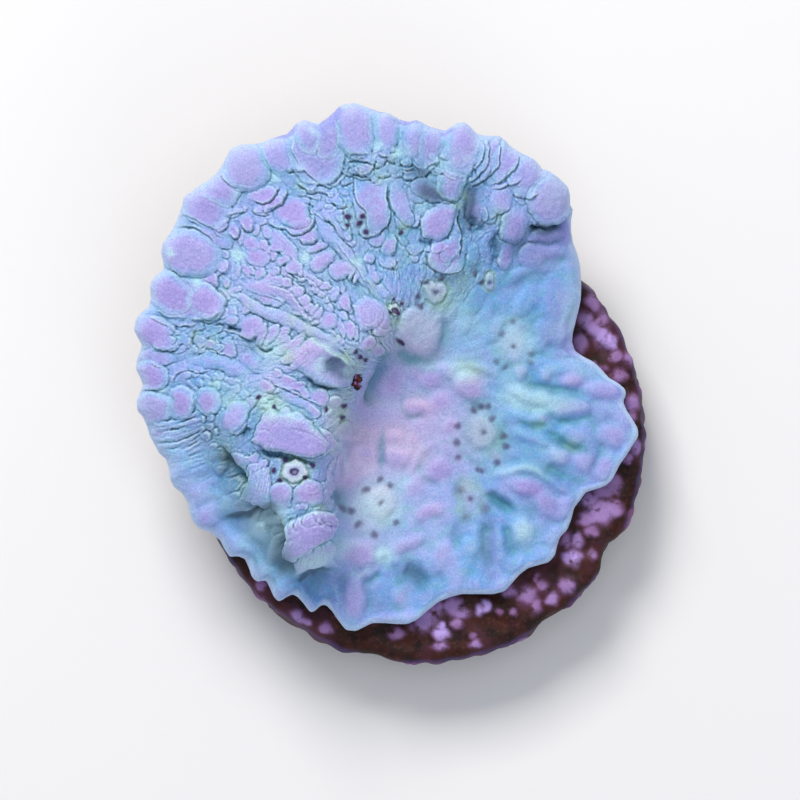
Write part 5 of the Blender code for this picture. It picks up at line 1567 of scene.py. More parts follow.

# %% [markdown]
# The last touches of colour follow lines: painted shade, dark or teal, in the furrows, and
# painted highlights and glowing lines along the edges. Each is a line of places, half its
# width in millimetres, and an amount.

# %% Tinted lines
TINTED_LINES = {
    "shade": [
        ([(398, 350), (384, 364), (374, 384), (371, 400), (376, 411)], 0.22, 0.5),
        ([(400, 348), (408, 360), (420, 365), (438, 361)], 0.24, 0.15),
        ([(446, 312), (451, 332), (443, 348), (430, 357)], 0.3, 0.35),
        ([(222, 520), (236, 518), (250, 515), (268, 512)], 0.2, 0.6),
        ([(295, 579), (306, 582), (321, 576), (340, 569)], 0.22, 0.6),
        ([(352, 560), (364, 566), (376, 560), (378, 548)], 0.25, 0.25),
        ([(304, 329), (324, 340), (344, 352), (356, 362)], 0.12, 0.4),
        ([(328, 358), (332, 363), (335, 370)], 0.5, 0.5),
    ],
    "teal_tint_and_shade": [
        ([(396, 352), (380, 368), (370, 388), (368, 404)], 0.4, 0.5),
        ([(404, 358), (420, 368), (440, 364)], 0.4, 0.4),
        ([(384, 430), (383, 450), (384, 470)], 0.25, 0.5),
        ([(408, 393), (402, 406), (411, 418), (427, 412)], 0.2, 0.5),
        ([(430, 438), (420, 458), (424, 474), (438, 485)], 0.25, 0.4),
        ([(500, 398), (522, 408), (545, 412), (560, 416)], 0.22, 0.5),
        ([(516, 420), (534, 424), (548, 428)], 0.2, 0.8),
        ([(546, 431), (566, 442), (592, 452)], 0.22, 0.7),
        ([(560, 421), (576, 423), (592, 417)], 0.22, 0.5),
        ([(540, 465), (562, 476), (588, 482)], 0.3, 0.4),
        ([(520, 384), (545, 388), (570, 393)], 0.25, 0.5),
        ([(490, 492), (500, 504), (520, 508), (540, 512)], 0.3, 0.4),
        ([(486, 522), (484, 544), (490, 566)], 0.25, 0.5),
        ([(508, 526), (510, 546), (520, 556)], 0.25, 0.5),
        ([(300, 572), (318, 578), (334, 572), (346, 566)], 0.3, 0.5),
        ([(280, 516), (278, 534), (280, 554), (290, 566)], 0.35, 0.8),
        ([(500, 300), (490, 318), (486, 340)], 0.3, 0.35),
        ([(524, 300), (532, 320), (534, 338)], 0.3, 0.35),
        ([(500, 330), (512, 318), (527, 320), (534, 334)], 0.25, 0.6),
        ([(500, 345), (512, 366), (530, 362)], 0.25, 0.5),
        ([(458, 410), (470, 400), (488, 402), (500, 416)], 0.22, 0.5),
        ([(462, 452), (478, 464), (494, 452)], 0.22, 0.4),
    ],
    "pale_and_highlight": [
        ([(488, 374), (516, 386), (552, 397), (584, 402)], 0.3, 0.15),
        ([(486, 478), (508, 471), (532, 470), (556, 482)], 0.25, 0.15),
        ([(294, 571), (303, 576), (317, 570), (334, 564)], 0.12, 0.6),
        ([(348, 571), (362, 575), (374, 568)], 0.3, 0.35),
        ([(300, 333), (320, 345), (340, 357), (356, 370)], 0.1, 0.8),
        ([(344, 366), (348, 373), (350, 380)], 0.35, 0.4),
        ([(316, 362), (322, 357), (327, 360)], 0.16, 0.6),
        ([(340, 440), (350, 460), (352, 480)], 0.15, 0.3),
    ],
    "glow": [
        ([(284, 514), (280, 524), (281, 538)], 0.3, 0.5),
        ([(306, 335), (324, 346), (342, 357), (358, 368)], 0.16, 0.7),
    ],
    "violet_and_painted_shade": [
        ([(556, 290), (560, 312), (566, 334)], 0.5, 0.3),
    ],
}
for layer, lines in TINTED_LINES.items():
    for line, half, amount in lines:
        part, away, along = line_distance(smooth_line(line), 4 * half)
        layers[layer][part] += amount * fade_ends(along, 0.2) * np.exp(-((away / half) ** 2))
    print(len(lines), "lines of", layer)
for name in ("pink", "warm_and_painted_light", "violet_and_painted_shade", "pale_and_highlight", "glow", "teal_tint_and_shade", "shade"):
    layers[name] = np.clip(layers[name], 0, 1)

# %% [markdown]
# ## From relief to creases, edges and colour
#
# Where a place lies lower than its surroundings it is a crease, and where it lies higher it
# is an edge. Comparing the map with a blurred copy of itself finds both. Creases get painted
# shade, as if light were lost in them, and free edges a painted highlight, partly the thin
# tissue's own paleness.

# %% Find creases and edges
SOFTNESS = 3.2
WARP = 0.10
FINE_WARP = 0.045
CREASE_DEPTH = 0.065


def read_grid(grid, x, y):
    """A grid of the map's size at places in millimetres, blended from the four nearest cells."""
    column = np.clip((x - MAP_LEFT) / CELL, 0, MAP_COLUMNS - 1.001)
    row = np.clip((y - MAP_FRONT) / CELL, 0, MAP_ROWS - 1.001)
    left = column.astype(int)
    front = row.astype(int)
    right_part = column - left
    back_part = row - front
    near = grid[front, left] * (1 - right_part) + grid[front, left + 1] * right_part
    far = grid[front + 1, left] * (1 - right_part) + grid[front + 1, left + 1] * right_part
    return near * (1 - back_part) + far * back_part


shift_x = WARP * soft_noise(1.0) + FINE_WARP * soft_noise(0.4)
shift_y = WARP * soft_noise(1.0) + FINE_WARP * soft_noise(0.4)
# every place moves a little, so that no outline stays a perfect curve
for name in LAYERS:
    layers[name] = read_grid(layers[name], map_x + shift_x, map_y + shift_y)
layers["height"] += 0.018 * soft_noise(0.35) + 0.012 * soft_noise(0.2)
print("places moved by up to", np.abs(shift_x).max().round(2), "mm")

# %% [markdown]
# Low tissue is soft, and the fan's is crisp. So the height is blurred off the fan, and on
# all of it the finest relief is drawn a little stronger than it was stamped.

# %% Sharpen the relief and read what it is
FINE_GAIN = 1.2
THIN_EDGE = 0.022
swollen = blur(layers["height"], SOFTNESS, SOFTNESS)
layers["height"] = blur(layers["height"], 0.5, 0.5) * fan + swollen * (1 - fan)
fine = blur(layers["height"], 1.5, 1.5)
broad = blur(layers["height"], 9, 9)
middle_part = 0.84 * fan + 0.88 * (1 - fan)
layers["height"] = broad + middle_part * (fine - broad) + FINE_GAIN * (layers["height"] - fine)
layers["height"] += 0.010 * soft_noise(0.16) * (1 - 0.6 * fan)
fine = blur(layers["height"], 1.3, 1.3)
# Painted shade: the creases are darkened wherever the relief lies below its own blur.
layers["crease_shade"] = np.clip((fine - layers["height"]) / CREASE_DEPTH, 0, 1) ** 1.6
# Painted highlight, partly the thin tissue's own paleness: narrow tops and proud places make the edge
# mask.
narrow_highlight = np.clip((layers["height"] - blur(layers["height"], 1, 1)) / THIN_EDGE, 0, 1) ** 1.5
proud = np.clip((layers["height"] - fine) / CREASE_DEPTH, 0, 1)
layers["edge"] = np.maximum(0.8 * proud, narrow_highlight * fan)
# Painted light and shade of the broad form: hollows and valleys are darkened, swellings lightened.
low_form = blur(layers["height"], 22, 22)
near_form = blur(layers["height"], 4, 4)
layers["hollow_shade"] = smooth_step(low_form - near_form, 0.02, 0.34) * (0.45 + 0.55 * fan)
layers["swell_light"] = smooth_step(near_form - low_form, 0.04, 0.40)
layers["valley_teal_shade"] = smooth_step(broad - layers["height"], -0.06, 0.26)
print("relief from", layers["height"].min().round(2), "to", layers["height"].max().round(2), "mm")

# %% [markdown]
# Pigment doesn't stop where a lobe does. The crowns and the pink are blurred a little, more
# so off the fan, and the pink fades in the low places between crowns.

# %% Soften the pigment
soft_crown = blur(layers["crown"], 4, 4)
layers["crown"] = blur(layers["crown"], 1, 1) * fan + soft_crown * (1 - fan)
soft_pink = blur(layers["pink"], 6, 6)
layers["pink"] = blur(layers["pink"], 2.0, 2.0) * fan + soft_pink * (1 - fan)
faded = 0.30 + 0.70 * np.clip(1.25 * layers["crown"], 0, 1) ** 1.2
layers["pink"] = layers["pink"] * (faded * fan + (0.45 + 0.55 * faded) * (1 - fan))
layers["pink"] = np.clip(layers["pink"] + 0.09 * soft_noise(1.6) + 0.05 * soft_noise(0.6), 0, 1)
print("pink covers", int((layers["pink"] > 0.5).mean() * 100), "percent of the map")

# %% [markdown]
# ## The tissue mesh
#
# The colony's mesh is a web: columns run from the centre to the rim, and rings go round.
# The columns stand closer on the fan, where the finest relief is, and half of them end
# half way in, where they would crowd. The rings follow the form's own length, so a steep
# face gets its share. The web is one surface, cut into six pieces only because each
# stays under 200,000 triangles, and all six take their normals from the whole.
#
# A subdivided grid with a displacement would be quicker to make, but a flat grid has no
# points left for the steep cliff and the lip, which are the form's most visible parts.

# %% Spread the columns
COLUMNS = 1760
INNER_RINGS = 84
CENTRE_RINGS = 42
FAN_DIRECTION = math.radians(135)
dense = reach * (1.15 + 0.35 * np.cos(direction - FAN_DIRECTION))
shares = np.concatenate([[0], np.cumsum(np.concatenate([dense[1:], dense[:1]]) + dense) / 2])
shares /= shares[-1]
whole_turn = np.append(direction, 2 * math.pi)
column_turn = np.interp(np.arange(COLUMNS) / COLUMNS, shares, whole_turn)
column_reach = polar_lookup(reach, column_turn, None)
column_lip = polar_lookup(lip, column_turn, None)
rim_top = polar_lookup(top_form, column_turn, np.ones(COLUMNS))
rim_under = polar_lookup(under_form, column_turn, np.ones(COLUMNS))
print("web of", COLUMNS, "columns")

# %% [markdown]
# A column's rings lie along its profile, which runs over the tissue from the centre and on
# round the lip, down to the middle of the rim. Their places are found by walking the
# profile, and how far each has walked tells where on the flat map it reads the relief.

# %% Spread the rings
TOP_RINGS = 264
LIP_SAMPLES = 40
PROFILE_SAMPLES = 420
flat_part = np.linspace(0, 1, PROFILE_SAMPLES)
quarter = np.linspace(0, math.pi / 2, LIP_SAMPLES + 1)[1:]
flat_reach = column_reach - column_lip
flat_r = flat_part[None, :] * flat_reach[:, None]
lip_r = flat_reach[:, None] + column_lip[:, None] * np.sin(quarter)
profile_r = np.concatenate([flat_r, lip_r], axis=1)
lip_half_height = (rim_top - rim_under) / 2
turns, parts = np.broadcast_arrays(column_turn[:, None], flat_part[None, :])
top_z = polar_lookup(top_form, turns, parts)
lip_z = (rim_top - lip_half_height)[:, None] + lip_half_height[:, None] * np.cos(quarter)
profile_z = np.concatenate([top_z, lip_z], axis=1)
unrolled = np.concatenate([flat_r, flat_reach[:, None] + column_lip[:, None] * quarter], axis=1)
rise = np.diff(profile_z, axis=1)
run = np.diff(profile_r, axis=1)
# a climb counts for less than a run, or the rings would all crowd on the cliff
walked = np.cumsum(np.sqrt(run**2 + 0.5 * rise**2), axis=1)
length = np.concatenate([np.zeros((COLUMNS, 1)), walked], axis=1)
ring_share = np.linspace(0, 1, TOP_RINGS + 1)[1:]
ring_share = ring_share**0.9
ring_r = np.empty((COLUMNS, TOP_RINGS))
ring_z = np.empty((COLUMNS, TOP_RINGS))
ring_way = np.empty((COLUMNS, TOP_RINGS))
for column in range(COLUMNS):
    wanted = ring_share * length[column, -1]
    ring_r[column] = np.interp(wanted, length[column], profile_r[column])
    ring_z[column] = np.interp(wanted, length[column], profile_z[column])
    ring_way[column] = np.interp(wanted, length[column], unrolled[column])
print("each column has", TOP_RINGS, "rings")

# %% [markdown]
# The relief now moves the web's points along the smooth form's normals, not straight up, so
# that lobes on the rim and on the cliff stand out sideways as real ones do.

# %% Raise the relief on the web
CARVE = 0.50
LIP_RELIEF = 0.50
LOW_CREST = 0.30
FAN_CREST = 0.72


def face_out(points):
    """Unit normals of a web of points, from the steps to the next column and the next ring."""
    round_step = np.roll(points, -1, axis=0) - np.roll(points, 1, axis=0)
    out_step = np.gradient(points, axis=1)
    normal = np.cross(out_step, round_step)
    return normal / np.maximum(np.linalg.norm(normal, axis=2, keepdims=True), 1e-12)


def round_centre(distance):
    """Places of the web's points from their distances from the colony's centre."""
    return COLONY_CENTRE[0] + distance * cos_turn, COLONY_CENTRE[1] + distance * sin_turn


cos_turn = np.cos(column_turn)[:, None]
sin_turn = np.sin(column_turn)[:, None]
web = np.stack([*round_centre(ring_r), ring_z + DISC_TOP], axis=2)
map_at_x, map_at_y = round_centre(ring_way)
height = read_grid(layers["height"], map_at_x, map_at_y)
over_lip = np.clip((ring_way - flat_reach[:, None]) / (column_lip[:, None] * math.pi / 2), 0, 1)
strength = 1 - (1 - LIP_RELIEF) * over_lip
rim_crest = LOW_CREST + (FAN_CREST - LOW_CREST) * smooth_step(rim_top, 3.0, 5.5)
carve = CARVE * (1 - over_lip) + LIP_RELIEF * rim_crest[:, None] * over_lip
outward = face_out(web)
for axis in range(3):
    outward[:, :, axis] = blur(outward[:, :, axis], 3, 2, wrap_rows=True)
outward /= np.linalg.norm(outward, axis=2, keepdims=True)
web = web + outward * (height * strength - carve)[:, :, None]
print("web spans", (web.max((0, 1)) - web.min((0, 1))).round(2), "mm")

# %% [markdown]
# The rim's outline is scalloped: it swells round each lobe and steps in at each furrow. The
# outline below was read off the photograph, clockwise from the left. The lip is moved in or
# out until the colony, seen from the camera, fills it. The CAD solid has only the rough
# outline, and the rim is the line that the eye follows first.

# %% Fit the lip to the outline
OUTLINE = [
    (134, 330), (136, 320), (141, 313), (149, 307), (151, 298), (150, 287), (152, 280), (158, 274),
    (164, 269), (163, 261), (161, 252), (163, 243), (167, 238), (173, 229), (178, 218), (182, 207),
    (184, 197), (191, 192), (199, 186), (208, 181), (216, 174), (222, 166), (227, 156), (231, 149),
    (240, 145), (252, 144), (262, 143), (270, 139), (280, 136), (287, 134), (292, 129), (297, 123),
    (304, 120), (311, 122), (317, 124), (323, 121), (329, 117), (335, 111), (340, 106), (347, 104),
    (355, 103), (363, 106), (371, 109), (380, 112), (388, 113), (395, 117), (401, 120), (409, 122),
    (416, 120), (423, 123), (430, 127), (438, 129), (445, 131), (451, 127), (458, 123), (464, 122),
    (470, 126), (475, 132), (480, 135), (490, 136), (499, 136), (505, 140), (510, 146), (516, 150),
    (523, 154), (532, 158), (538, 163), (542, 169), (549, 171), (555, 175), (562, 181), (568, 187),
    (570, 196), (570, 204), (573, 211), (571, 219), (571, 231), (573, 243), (577, 253), (580, 265),
    (581, 280), (581, 296), (579, 308), (576, 320), (573, 332), (572, 342), (575, 351), (584, 357),
    (594, 362), (602, 370), (609, 378), (618, 383), (625, 389), (626, 394), (623, 402), (627, 411),
    (633, 420), (638, 429), (638, 437), (632, 446), (626, 456), (620, 464), (616, 472), (612, 480),
    (605, 486), (596, 489), (586, 492), (581, 499), (574, 508), (571, 520), (567, 530), (560, 537),
    (557, 546), (555, 555), (549, 562), (539, 565), (528, 568), (519, 575), (512, 583), (505, 591),
    (494, 594), (478, 594), (462, 594), (450, 597), (438, 602), (427, 611), (418, 619), (408, 624),
    (396, 624), (384, 623), (372, 623), (364, 627), (356, 631), (346, 630), (338, 620), (332, 611),
    (326, 605), (320, 605), (315, 612), (310, 612), (304, 604), (298, 597), (292, 594), (285, 598),
    (279, 602), (274, 597), (270, 588), (266, 580), (257, 582), (252, 577), (249, 568), (245, 559),
    (238, 556), (230, 557), (225, 550), (220, 540), (210, 532), (200, 529), (194, 523), (190, 514),
    (188, 503), (182, 493), (174, 487), (170, 479), (169, 468), (166, 459), (159, 453), (155, 445),
    (150, 436), (147, 426), (143, 417), (137, 410), (137, 400), (141, 391), (143, 385), (140, 377),
    (136, 369), (137, 360), (140, 352), (142, 345), (138, 338),
]
STRETCH_FROM = 2.6
MOST_IN = 1.4
MOST_OUT = 0.9
centre_across = PHOTO_MIDDLE + (COLONY_CENTRE[0] - VIEW_X) / PIXEL
centre_down = PHOTO_MIDDLE - (COLONY_CENTRE[1] - VIEW_Y) / PIXEL
outline = np.array(OUTLINE, float)
outline_turn = np.arctan2(centre_down - outline[:, 1], outline[:, 0] - centre_across) % (2 * math.pi)
outline_away = np.hypot(outline[:, 0] - centre_across, outline[:, 1] - centre_down)
order = np.argsort(outline_turn)
nearness = CAMERA_AWAY / (CAMERA_AWAY + DISC_TOP - web[:, :, 2])
seen_x = (web[:, :, 0] - VIEW_X) / PIXEL * nearness - (COLONY_CENTRE[0] - VIEW_X) / PIXEL
seen_y = (web[:, :, 1] - VIEW_Y) / PIXEL * nearness - (COLONY_CENTRE[1] - VIEW_Y) / PIXEL
seen_away = np.hypot(seen_x, seen_y)
widest = seen_away.argmax(1)
every = np.arange(COLUMNS)
seen_turn = np.arctan2(seen_y[every, widest], seen_x[every, widest]) % (2 * math.pi)
wanted_away = np.interp(seen_turn, outline_turn[order], outline_away[order], period=2 * math.pi)
lip_shift = np.clip((wanted_away - seen_away[every, widest]) * PIXEL, -MOST_IN, MOST_OUT)
lip_shift = blur(lip_shift[:, None], 1.4, 0, wrap_rows=True)[:, 0]
lip_way = flat_reach + column_lip
pull = smooth_step(ring_way, lip_way[:, None] - STRETCH_FROM, lip_way[:, None]) * lip_shift[:, None]
web[:, :, 0] += pull * cos_turn
web[:, :, 1] += pull * sin_turn
web_normal = face_out(web)
print("lip moved", lip_shift.min().round(2), "to", lip_shift.max().round(2), "mm")

# %% [markdown]
# Each point of the web takes the map's layers along as named values, which the materials
# read back by name. Two more tell the materials how low a point lies, and how near the rim.

# %% Values that the web carries
ATTRIBUTES = (
    "crown", "pink", "warm_and_painted_light", "violet_and_painted_shade", "pale_and_highlight", "eye", "glow", "teal_tint_and_shade", "dot", "shade", "crease_shade",
    "edge", "valley_teal_shade", "hollow_shade", "swell_light",
)
MARGIN_WIDE = 2.0
web_layers = {name: read_grid(layers[name], map_at_x, map_at_y) for name in ATTRIBUTES}
web_layers["low"] = 1 - smooth_step(ring_z, 2.5, 6.5)
# How near the rim a point lies: there the tissue gets painted rim light, and painted shade in its
# notches.
margin_here = MARGIN_WIDE - 1.0 * web_layers["low"]
from_rim = np.clip((column_reach[:, None] - ring_r) / margin_here, 0, 1)
web_layers["margin"] = 1 - from_rim
print(len(web_layers), "values at each point")

# %% [markdown]
# Every piece is made by one function, from its points, its faces and its named values. The
# normals come from the whole web, so that no seam shows where two meshes meet.

# %% Make one mesh
def add_mesh(name, points, faces, normals, values):
    """One object from points in millimetres, with smooth given normals and named values."""
    mesh = bpy.data.meshes.new(name)
    mesh.from_pydata((points * MM).tolist(), [], faces)
    mesh.shade_smooth()
    if normals is not None:
        mesh.normals_split_custom_set_from_vertices(normals.tolist())
    for label, numbers in values.items():
        layer = mesh.attributes.new(label, "FLOAT", "POINT")
        layer.data.foreach_set("value", np.ascontiguousarray(numbers, np.float32))
    thing = bpy.data.objects.new(name, mesh)
    bpy.context.scene.collection.objects.link(thing)
    triangles = sum(len(face) - 2 for face in faces)
    print(name, "has", triangles, "triangles")
    assert triangles < 200_000, name
    return thing


def quads(rows, round_closed):
    """Faces between neighbouring columns of a block of vertex numbers."""
    nxt = np.roll(rows, -1, axis=0) if round_closed else rows[1:]
    here = rows if round_closed else rows[:-1]
    block = np.stack([here[:, :-1], here[:, 1:], nxt[:, 1:], nxt[:, :-1]], axis=-1)
    return block.reshape(-1, 4).tolist()

# %% [markdown]
# Five meshes are cut from the outer rings, from one column to another: three of the fan,
# which has the finest relief, and two of the margin.

# %% Cut the web into meshes
FAN_FROM = math.radians(38)
FAN_TO = math.radians(232)


def piece_of_web(name, column_from, column_to):
    """The outer rings of the web between two columns."""
    chosen = np.arange(column_from, column_to + 1) % COLUMNS
    rings = np.arange(INNER_RINGS - 1, TOP_RINGS)
    numbers = np.arange(len(chosen) * len(rings)).reshape(len(chosen), len(rings))
    grid = np.ix_(chosen, rings)
    values = {label: web_layers[label][grid].ravel() for label in web_layers}
    normals = web_normal[grid].reshape(-1, 3)
    return add_mesh(name, web[grid].reshape(-1, 3), quads(numbers, False), normals, values)


fan_first = int(np.searchsorted(column_turn, FAN_FROM))
fan_last = int(np.searchsorted(column_turn, FAN_TO))
fan_cuts = np.linspace(fan_first, fan_last, 4).astype(int)
margin_middle = (fan_last + fan_first + COLUMNS) // 2
print("fan columns", fan_last - fan_first)
tissue_fan_right = piece_of_web("tissue_fan_right", fan_cuts[0], fan_cuts[1])
tissue_fan_top = piece_of_web("tissue_fan_top", fan_cuts[1], fan_cuts[2])
tissue_fan_left = piece_of_web("tissue_fan_left", fan_cuts[2], fan_cuts[3])
tissue_margin_front = piece_of_web("tissue_margin_front", fan_last, margin_middle)
tissue_margin_right = piece_of_web("tissue_margin_right", margin_middle, fan_first + COLUMNS)

# %% [markdown]
# Towards the centre the columns crowd, so half of them end at one ring and half of the rest
# at another. Where they end, one five-sided face takes the place of two four-sided ones,
# and a last point closes the middle.

# %% Close the middle of the web
middle_columns = np.arange(0, COLUMNS, 2)
centre_columns = np.arange(0, COLUMNS, 4)
outer = np.arange(COLUMNS)
blocks = [
    (outer, [INNER_RINGS - 1]),
    (middle_columns, np.arange(CENTRE_RINGS, INNER_RINGS - 1)),
    (centre_columns, np.arange(0, CENTRE_RINGS)),
]
points, normals, numbers = [], [], []
values = {label: [] for label in web_layers}
count = 0
for columns, rings in blocks:
    grid = np.ix_(columns, rings)
    points.append(web[grid].reshape(-1, 3))
    normals.append(web_normal[grid].reshape(-1, 3))
    for label in web_layers:
        values[label].append(web_layers[label][grid].ravel())
    numbers.append(count + np.arange(len(columns) * len(rings)).reshape(len(columns), len(rings)))
    count += len(columns) * len(rings)
points.append(web[:, 0].mean(0)[None])
normals.append(web_normal[:, 0].mean(0)[None])
for label in web_layers:
    values[label].append(web_layers[label][:1, 0])
faces = quads(numbers[1], True) + quads(numbers[2], True)
for outer_block, inner_block in ((numbers[0], numbers[1]), (numbers[1], numbers[2])):
    fine_ring = outer_block[:, 0].tolist()
    coarse_ring = inner_block[:, -1].tolist()
    for i, a in enumerate(coarse_ring):
        b = coarse_ring[(i + 1) % len(coarse_ring)]
        between = [fine_ring[(2 * i + k) % len(fine_ring)] for k in range(3)]
        faces.append([a, *between, b])
inner_ring = numbers[2][:, 0]
faces += [[count, a, b] for a, b in zip(inner_ring.tolist(), np.roll(inner_ring, -1).tolist())]
tissue_bowl = add_mesh(
    "tissue_bowl", np.concatenate(points), faces, np.concatenate(normals),
    {label: np.concatenate(values[label]) for label in values},
)

# %% [markdown]
# ## The underside
#
# Below the rim the tissue ends, and bare limestone shows: fine ribs run out from the foot,
# crossed by growth lines. Nothing of it shows from above, but the part is seen from all
# sides. The foot settles on the disc, where the living margin has crept over it. The ribs
# are waves of the direction and of the way walked along the face, and a second web, which
# starts at the rim's last ring, carries them.

# %% Underside web
UNDER_RINGS = 26
UNDER_LIP_RINGS = 9
FOOT_FROM = 0.12
under_quarter = np.linspace(math.pi / 2, math.pi, UNDER_LIP_RINGS)
under_share = np.linspace(1, 0, UNDER_RINGS - UNDER_LIP_RINGS + 1)[1:]
under_part = FOOT_FROM + (1 - FOOT_FROM) * under_share
under_lip_r = flat_reach[:, None] + column_lip[:, None] * np.sin(under_quarter)
under_r = np.concatenate([under_lip_r, under_part[None, :] * flat_reach[:, None]], axis=1)
under_lip_z = (rim_top - lip_half_height)[:, None] + lip_half_height[:, None] * np.cos(under_quarter)
turns, parts = np.broadcast_arrays(column_turn[:, None], under_part[None, :])
under_z = np.concatenate([under_lip_z, polar_lookup(under_form, turns, parts)], axis=1)
under_web = np.stack([*round_centre(under_r), under_z + DISC_TOP], axis=2)
under_normal = face_out(under_web)
under_lip_way = flat_reach[:, None] + column_lip[:, None] * under_quarter[None, :]
past_lip = flat_reach[:, None] + column_lip[:, None] * math.pi
under_flat_way = past_lip + (1 - under_part)[None, :] * flat_reach[:, None]
under_way = np.concatenate([under_lip_way, under_flat_way], axis=1)
print("underside web of", under_r.shape, "points")

# %% [markdown]
# The photograph doesn't show the underside. Ribs 0.9 mm apart and growth lines 1.3 mm apart
# are a guess from how such plates grow. Both fade in over the lip, where the underside's
# first ring has to be the same as the tissue's last.

# %% Ribs and growth lines of the underside
RIM_RADIUS = 17.0
RIB_APART = 0.9
GROWTH_APART = 1.3
FADE_RINGS = 12
RIB_DEPTH = 0.26
GROWTH_DEPTH = 0.10
UNDER_SUNK = 0.30
FOOT_SUNK = 0.32
FOOT_LEVEL = 0.05
round_mm = column_turn[:, None] * RIM_RADIUS
rib_sway = 1.5 * np.sin(under_way * 0.9 + round_mm * 0.35)
rib = 0.5 + 0.5 * np.cos(round_mm * 2 * math.pi / RIB_APART + rib_sway)
growth_sway = 0.8 * np.sin(round_mm * 0.8)
growth = 0.5 + 0.5 * np.cos(under_way * 2 * math.pi / GROWTH_APART + growth_sway)
fade = smooth_step(np.arange(under_r.shape[1])[None, :], 0, FADE_RINGS)
relief_under = -RIB_DEPTH * fade * (1 - rib) ** 1.5 - GROWTH_DEPTH * fade * (1 - growth) ** 2
lip_offset = (height[:, -1:] * LIP_RELIEF - carve[:, -1:]) * (1 - fade) - UNDER_SUNK * fade
under_web = under_web + under_normal * (relief_under + lip_offset)[:, :, None]
under_pull = lip_shift[:, None] * (1 - smooth_step(under_way - flat_reach[:, None], 1.5, 4.5))
under_web[:, :, 0] += under_pull * cos_turn
under_web[:, :, 1] += under_pull * sin_turn
under_web[:, 0] = web[:, -1]
print("ribs and growth lines up to", abs(relief_under.min()).round(2), "mm deep")

# %% [markdown]
# The foot is pressed on to the disc, where the colony has crept over it, and the web gets
# its faces. Three values go with it: where a rib is, which sets painted shade in the grooves
# between the ribs, where living tissue turns round the lip, and how near the foot a point
# lies, where the stone turns darker.

# %% Settle the underside on the disc
settle = smooth_step(-under_z, -1.0, -0.35)
lowest = DISC_TOP + FOOT_LEVEL * (1 - settle) - 0.02
under_web[:, :, 2] = np.maximum(under_web[:, :, 2] - FOOT_SUNK * settle, lowest)
under_final_normal = face_out(under_web)
under_final_normal[:, 0] = web_normal[:, -1]
under_values = {
    "rib": rib.ravel(),
    "living": (1 - smooth_step(under_way - flat_reach[:, None], 2.2, 4.6)).ravel(),
    "foot": smooth_step(-under_z, -1.6, -0.4).ravel(),
}
under_numbers = np.arange(under_r.size).reshape(under_r.shape)
under_faces = quads(under_numbers, True)
under_faces.append([int(n) for n in under_numbers[:, -1]][::-1])
under_normals = under_final_normal.reshape(-1, 3)
colony_underside = add_mesh(
    "colony_underside", under_web.reshape(-1, 3), under_faces, under_normals, under_values
)

# %% [markdown]
# ## The frag disc
#
# The disc is cast ceramic, about 32 mm across. In the tank it has grown a dark brown film
# and, over that, coralline algae: mauve crusts that start as round spots and run together.
# Its CAD solid is smooth, so this finer copy carries the pores, the crusts and the chips.
# How far the solid reaches in each direction gives it the chips.

# %% Measure the disc's solid
DISC_COLUMNS = 500
disc_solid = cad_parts["frag_disc"].data
disc_points = [vertex.co / MM for vertex in disc_solid.vertices]
disc_tree = BVHTree.FromPolygons(disc_points, [face.vertices[:] for face in disc_solid.polygons])
disc_turn = 2 * math.pi * np.arange(DISC_COLUMNS) / DISC_COLUMNS
disc_reach = np.empty(DISC_COLUMNS)
for i, turn in enumerate(disc_turn):
    way = Vector((-math.cos(turn), -math.sin(turn), 0))
    hit = disc_tree.ray_cast(Vector((FAR * math.cos(turn), FAR * math.sin(turn), DISC_TOP / 2)), way)
    disc_reach[i] = math.hypot(hit[0].x, hit[0].y)
disc_reach = blur(disc_reach[:, None], 1.5, 0, wrap_rows=True)[:, 0]
print("disc reaches", disc_reach.min().round(2), "to", disc_reach.max().round(2), "mm")

# %% [markdown]
# The mesh is turned like a pot: rings run from inside the top, over the rounded edge, down
# the side and back under. One flat face closes the top's middle, which the colony hides.

# %% Disc mesh
EDGE_ROUND = 1.1
HIDDEN_SHARE = 0.42
# each ring: its share of the flat reach, what the rounding adds to that, and its height
disc_rings = [(ring, 0.0, DISC_TOP) for ring in np.linspace(HIDDEN_SHARE, 1, 62)]
for bend in np.linspace(0, math.pi / 2, 13)[1:]:
    drop = EDGE_ROUND * (1 - math.cos(bend))
    disc_rings.append((1.0, EDGE_ROUND * math.sin(bend), DISC_TOP - drop))
disc_rings += [(1.0, EDGE_ROUND, z) for z in np.linspace(DISC_TOP - EDGE_ROUND, EDGE_ROUND, 34)[1:]]
for bend in np.linspace(0, math.pi / 2, 11)[1:]:
    disc_rings.append((1.0, EDGE_ROUND * math.cos(bend), EDGE_ROUND * (1 - math.sin(bend))))
disc_rings += [(ring, 0.0, 0.0) for ring in np.linspace(1, 0.04, 8)[1:]]
rings = np.array(disc_rings)
inner_reach = disc_reach[:, None] - EDGE_ROUND
disc_r = rings[None, :, 0] * inner_reach + rings[None, :, 1]
disc_z = rings[None, :, 2] + 0 * disc_r
disc_x = disc_r * np.cos(disc_turn)[:, None]
disc_y = disc_r * np.sin(disc_turn)[:, None]
disc_web = np.stack([disc_x, disc_y, disc_z], axis=2)
print("disc web", disc_web.shape)

# %% [markdown]
# Coralline algae settle as spots and grow outwards. The spots that the photograph shows are
# placed one by one. The side, which it doesn't show, gets spots at random, and so does the
# top between them. Each is a soft bump in space, so it bends round the disc's edge.

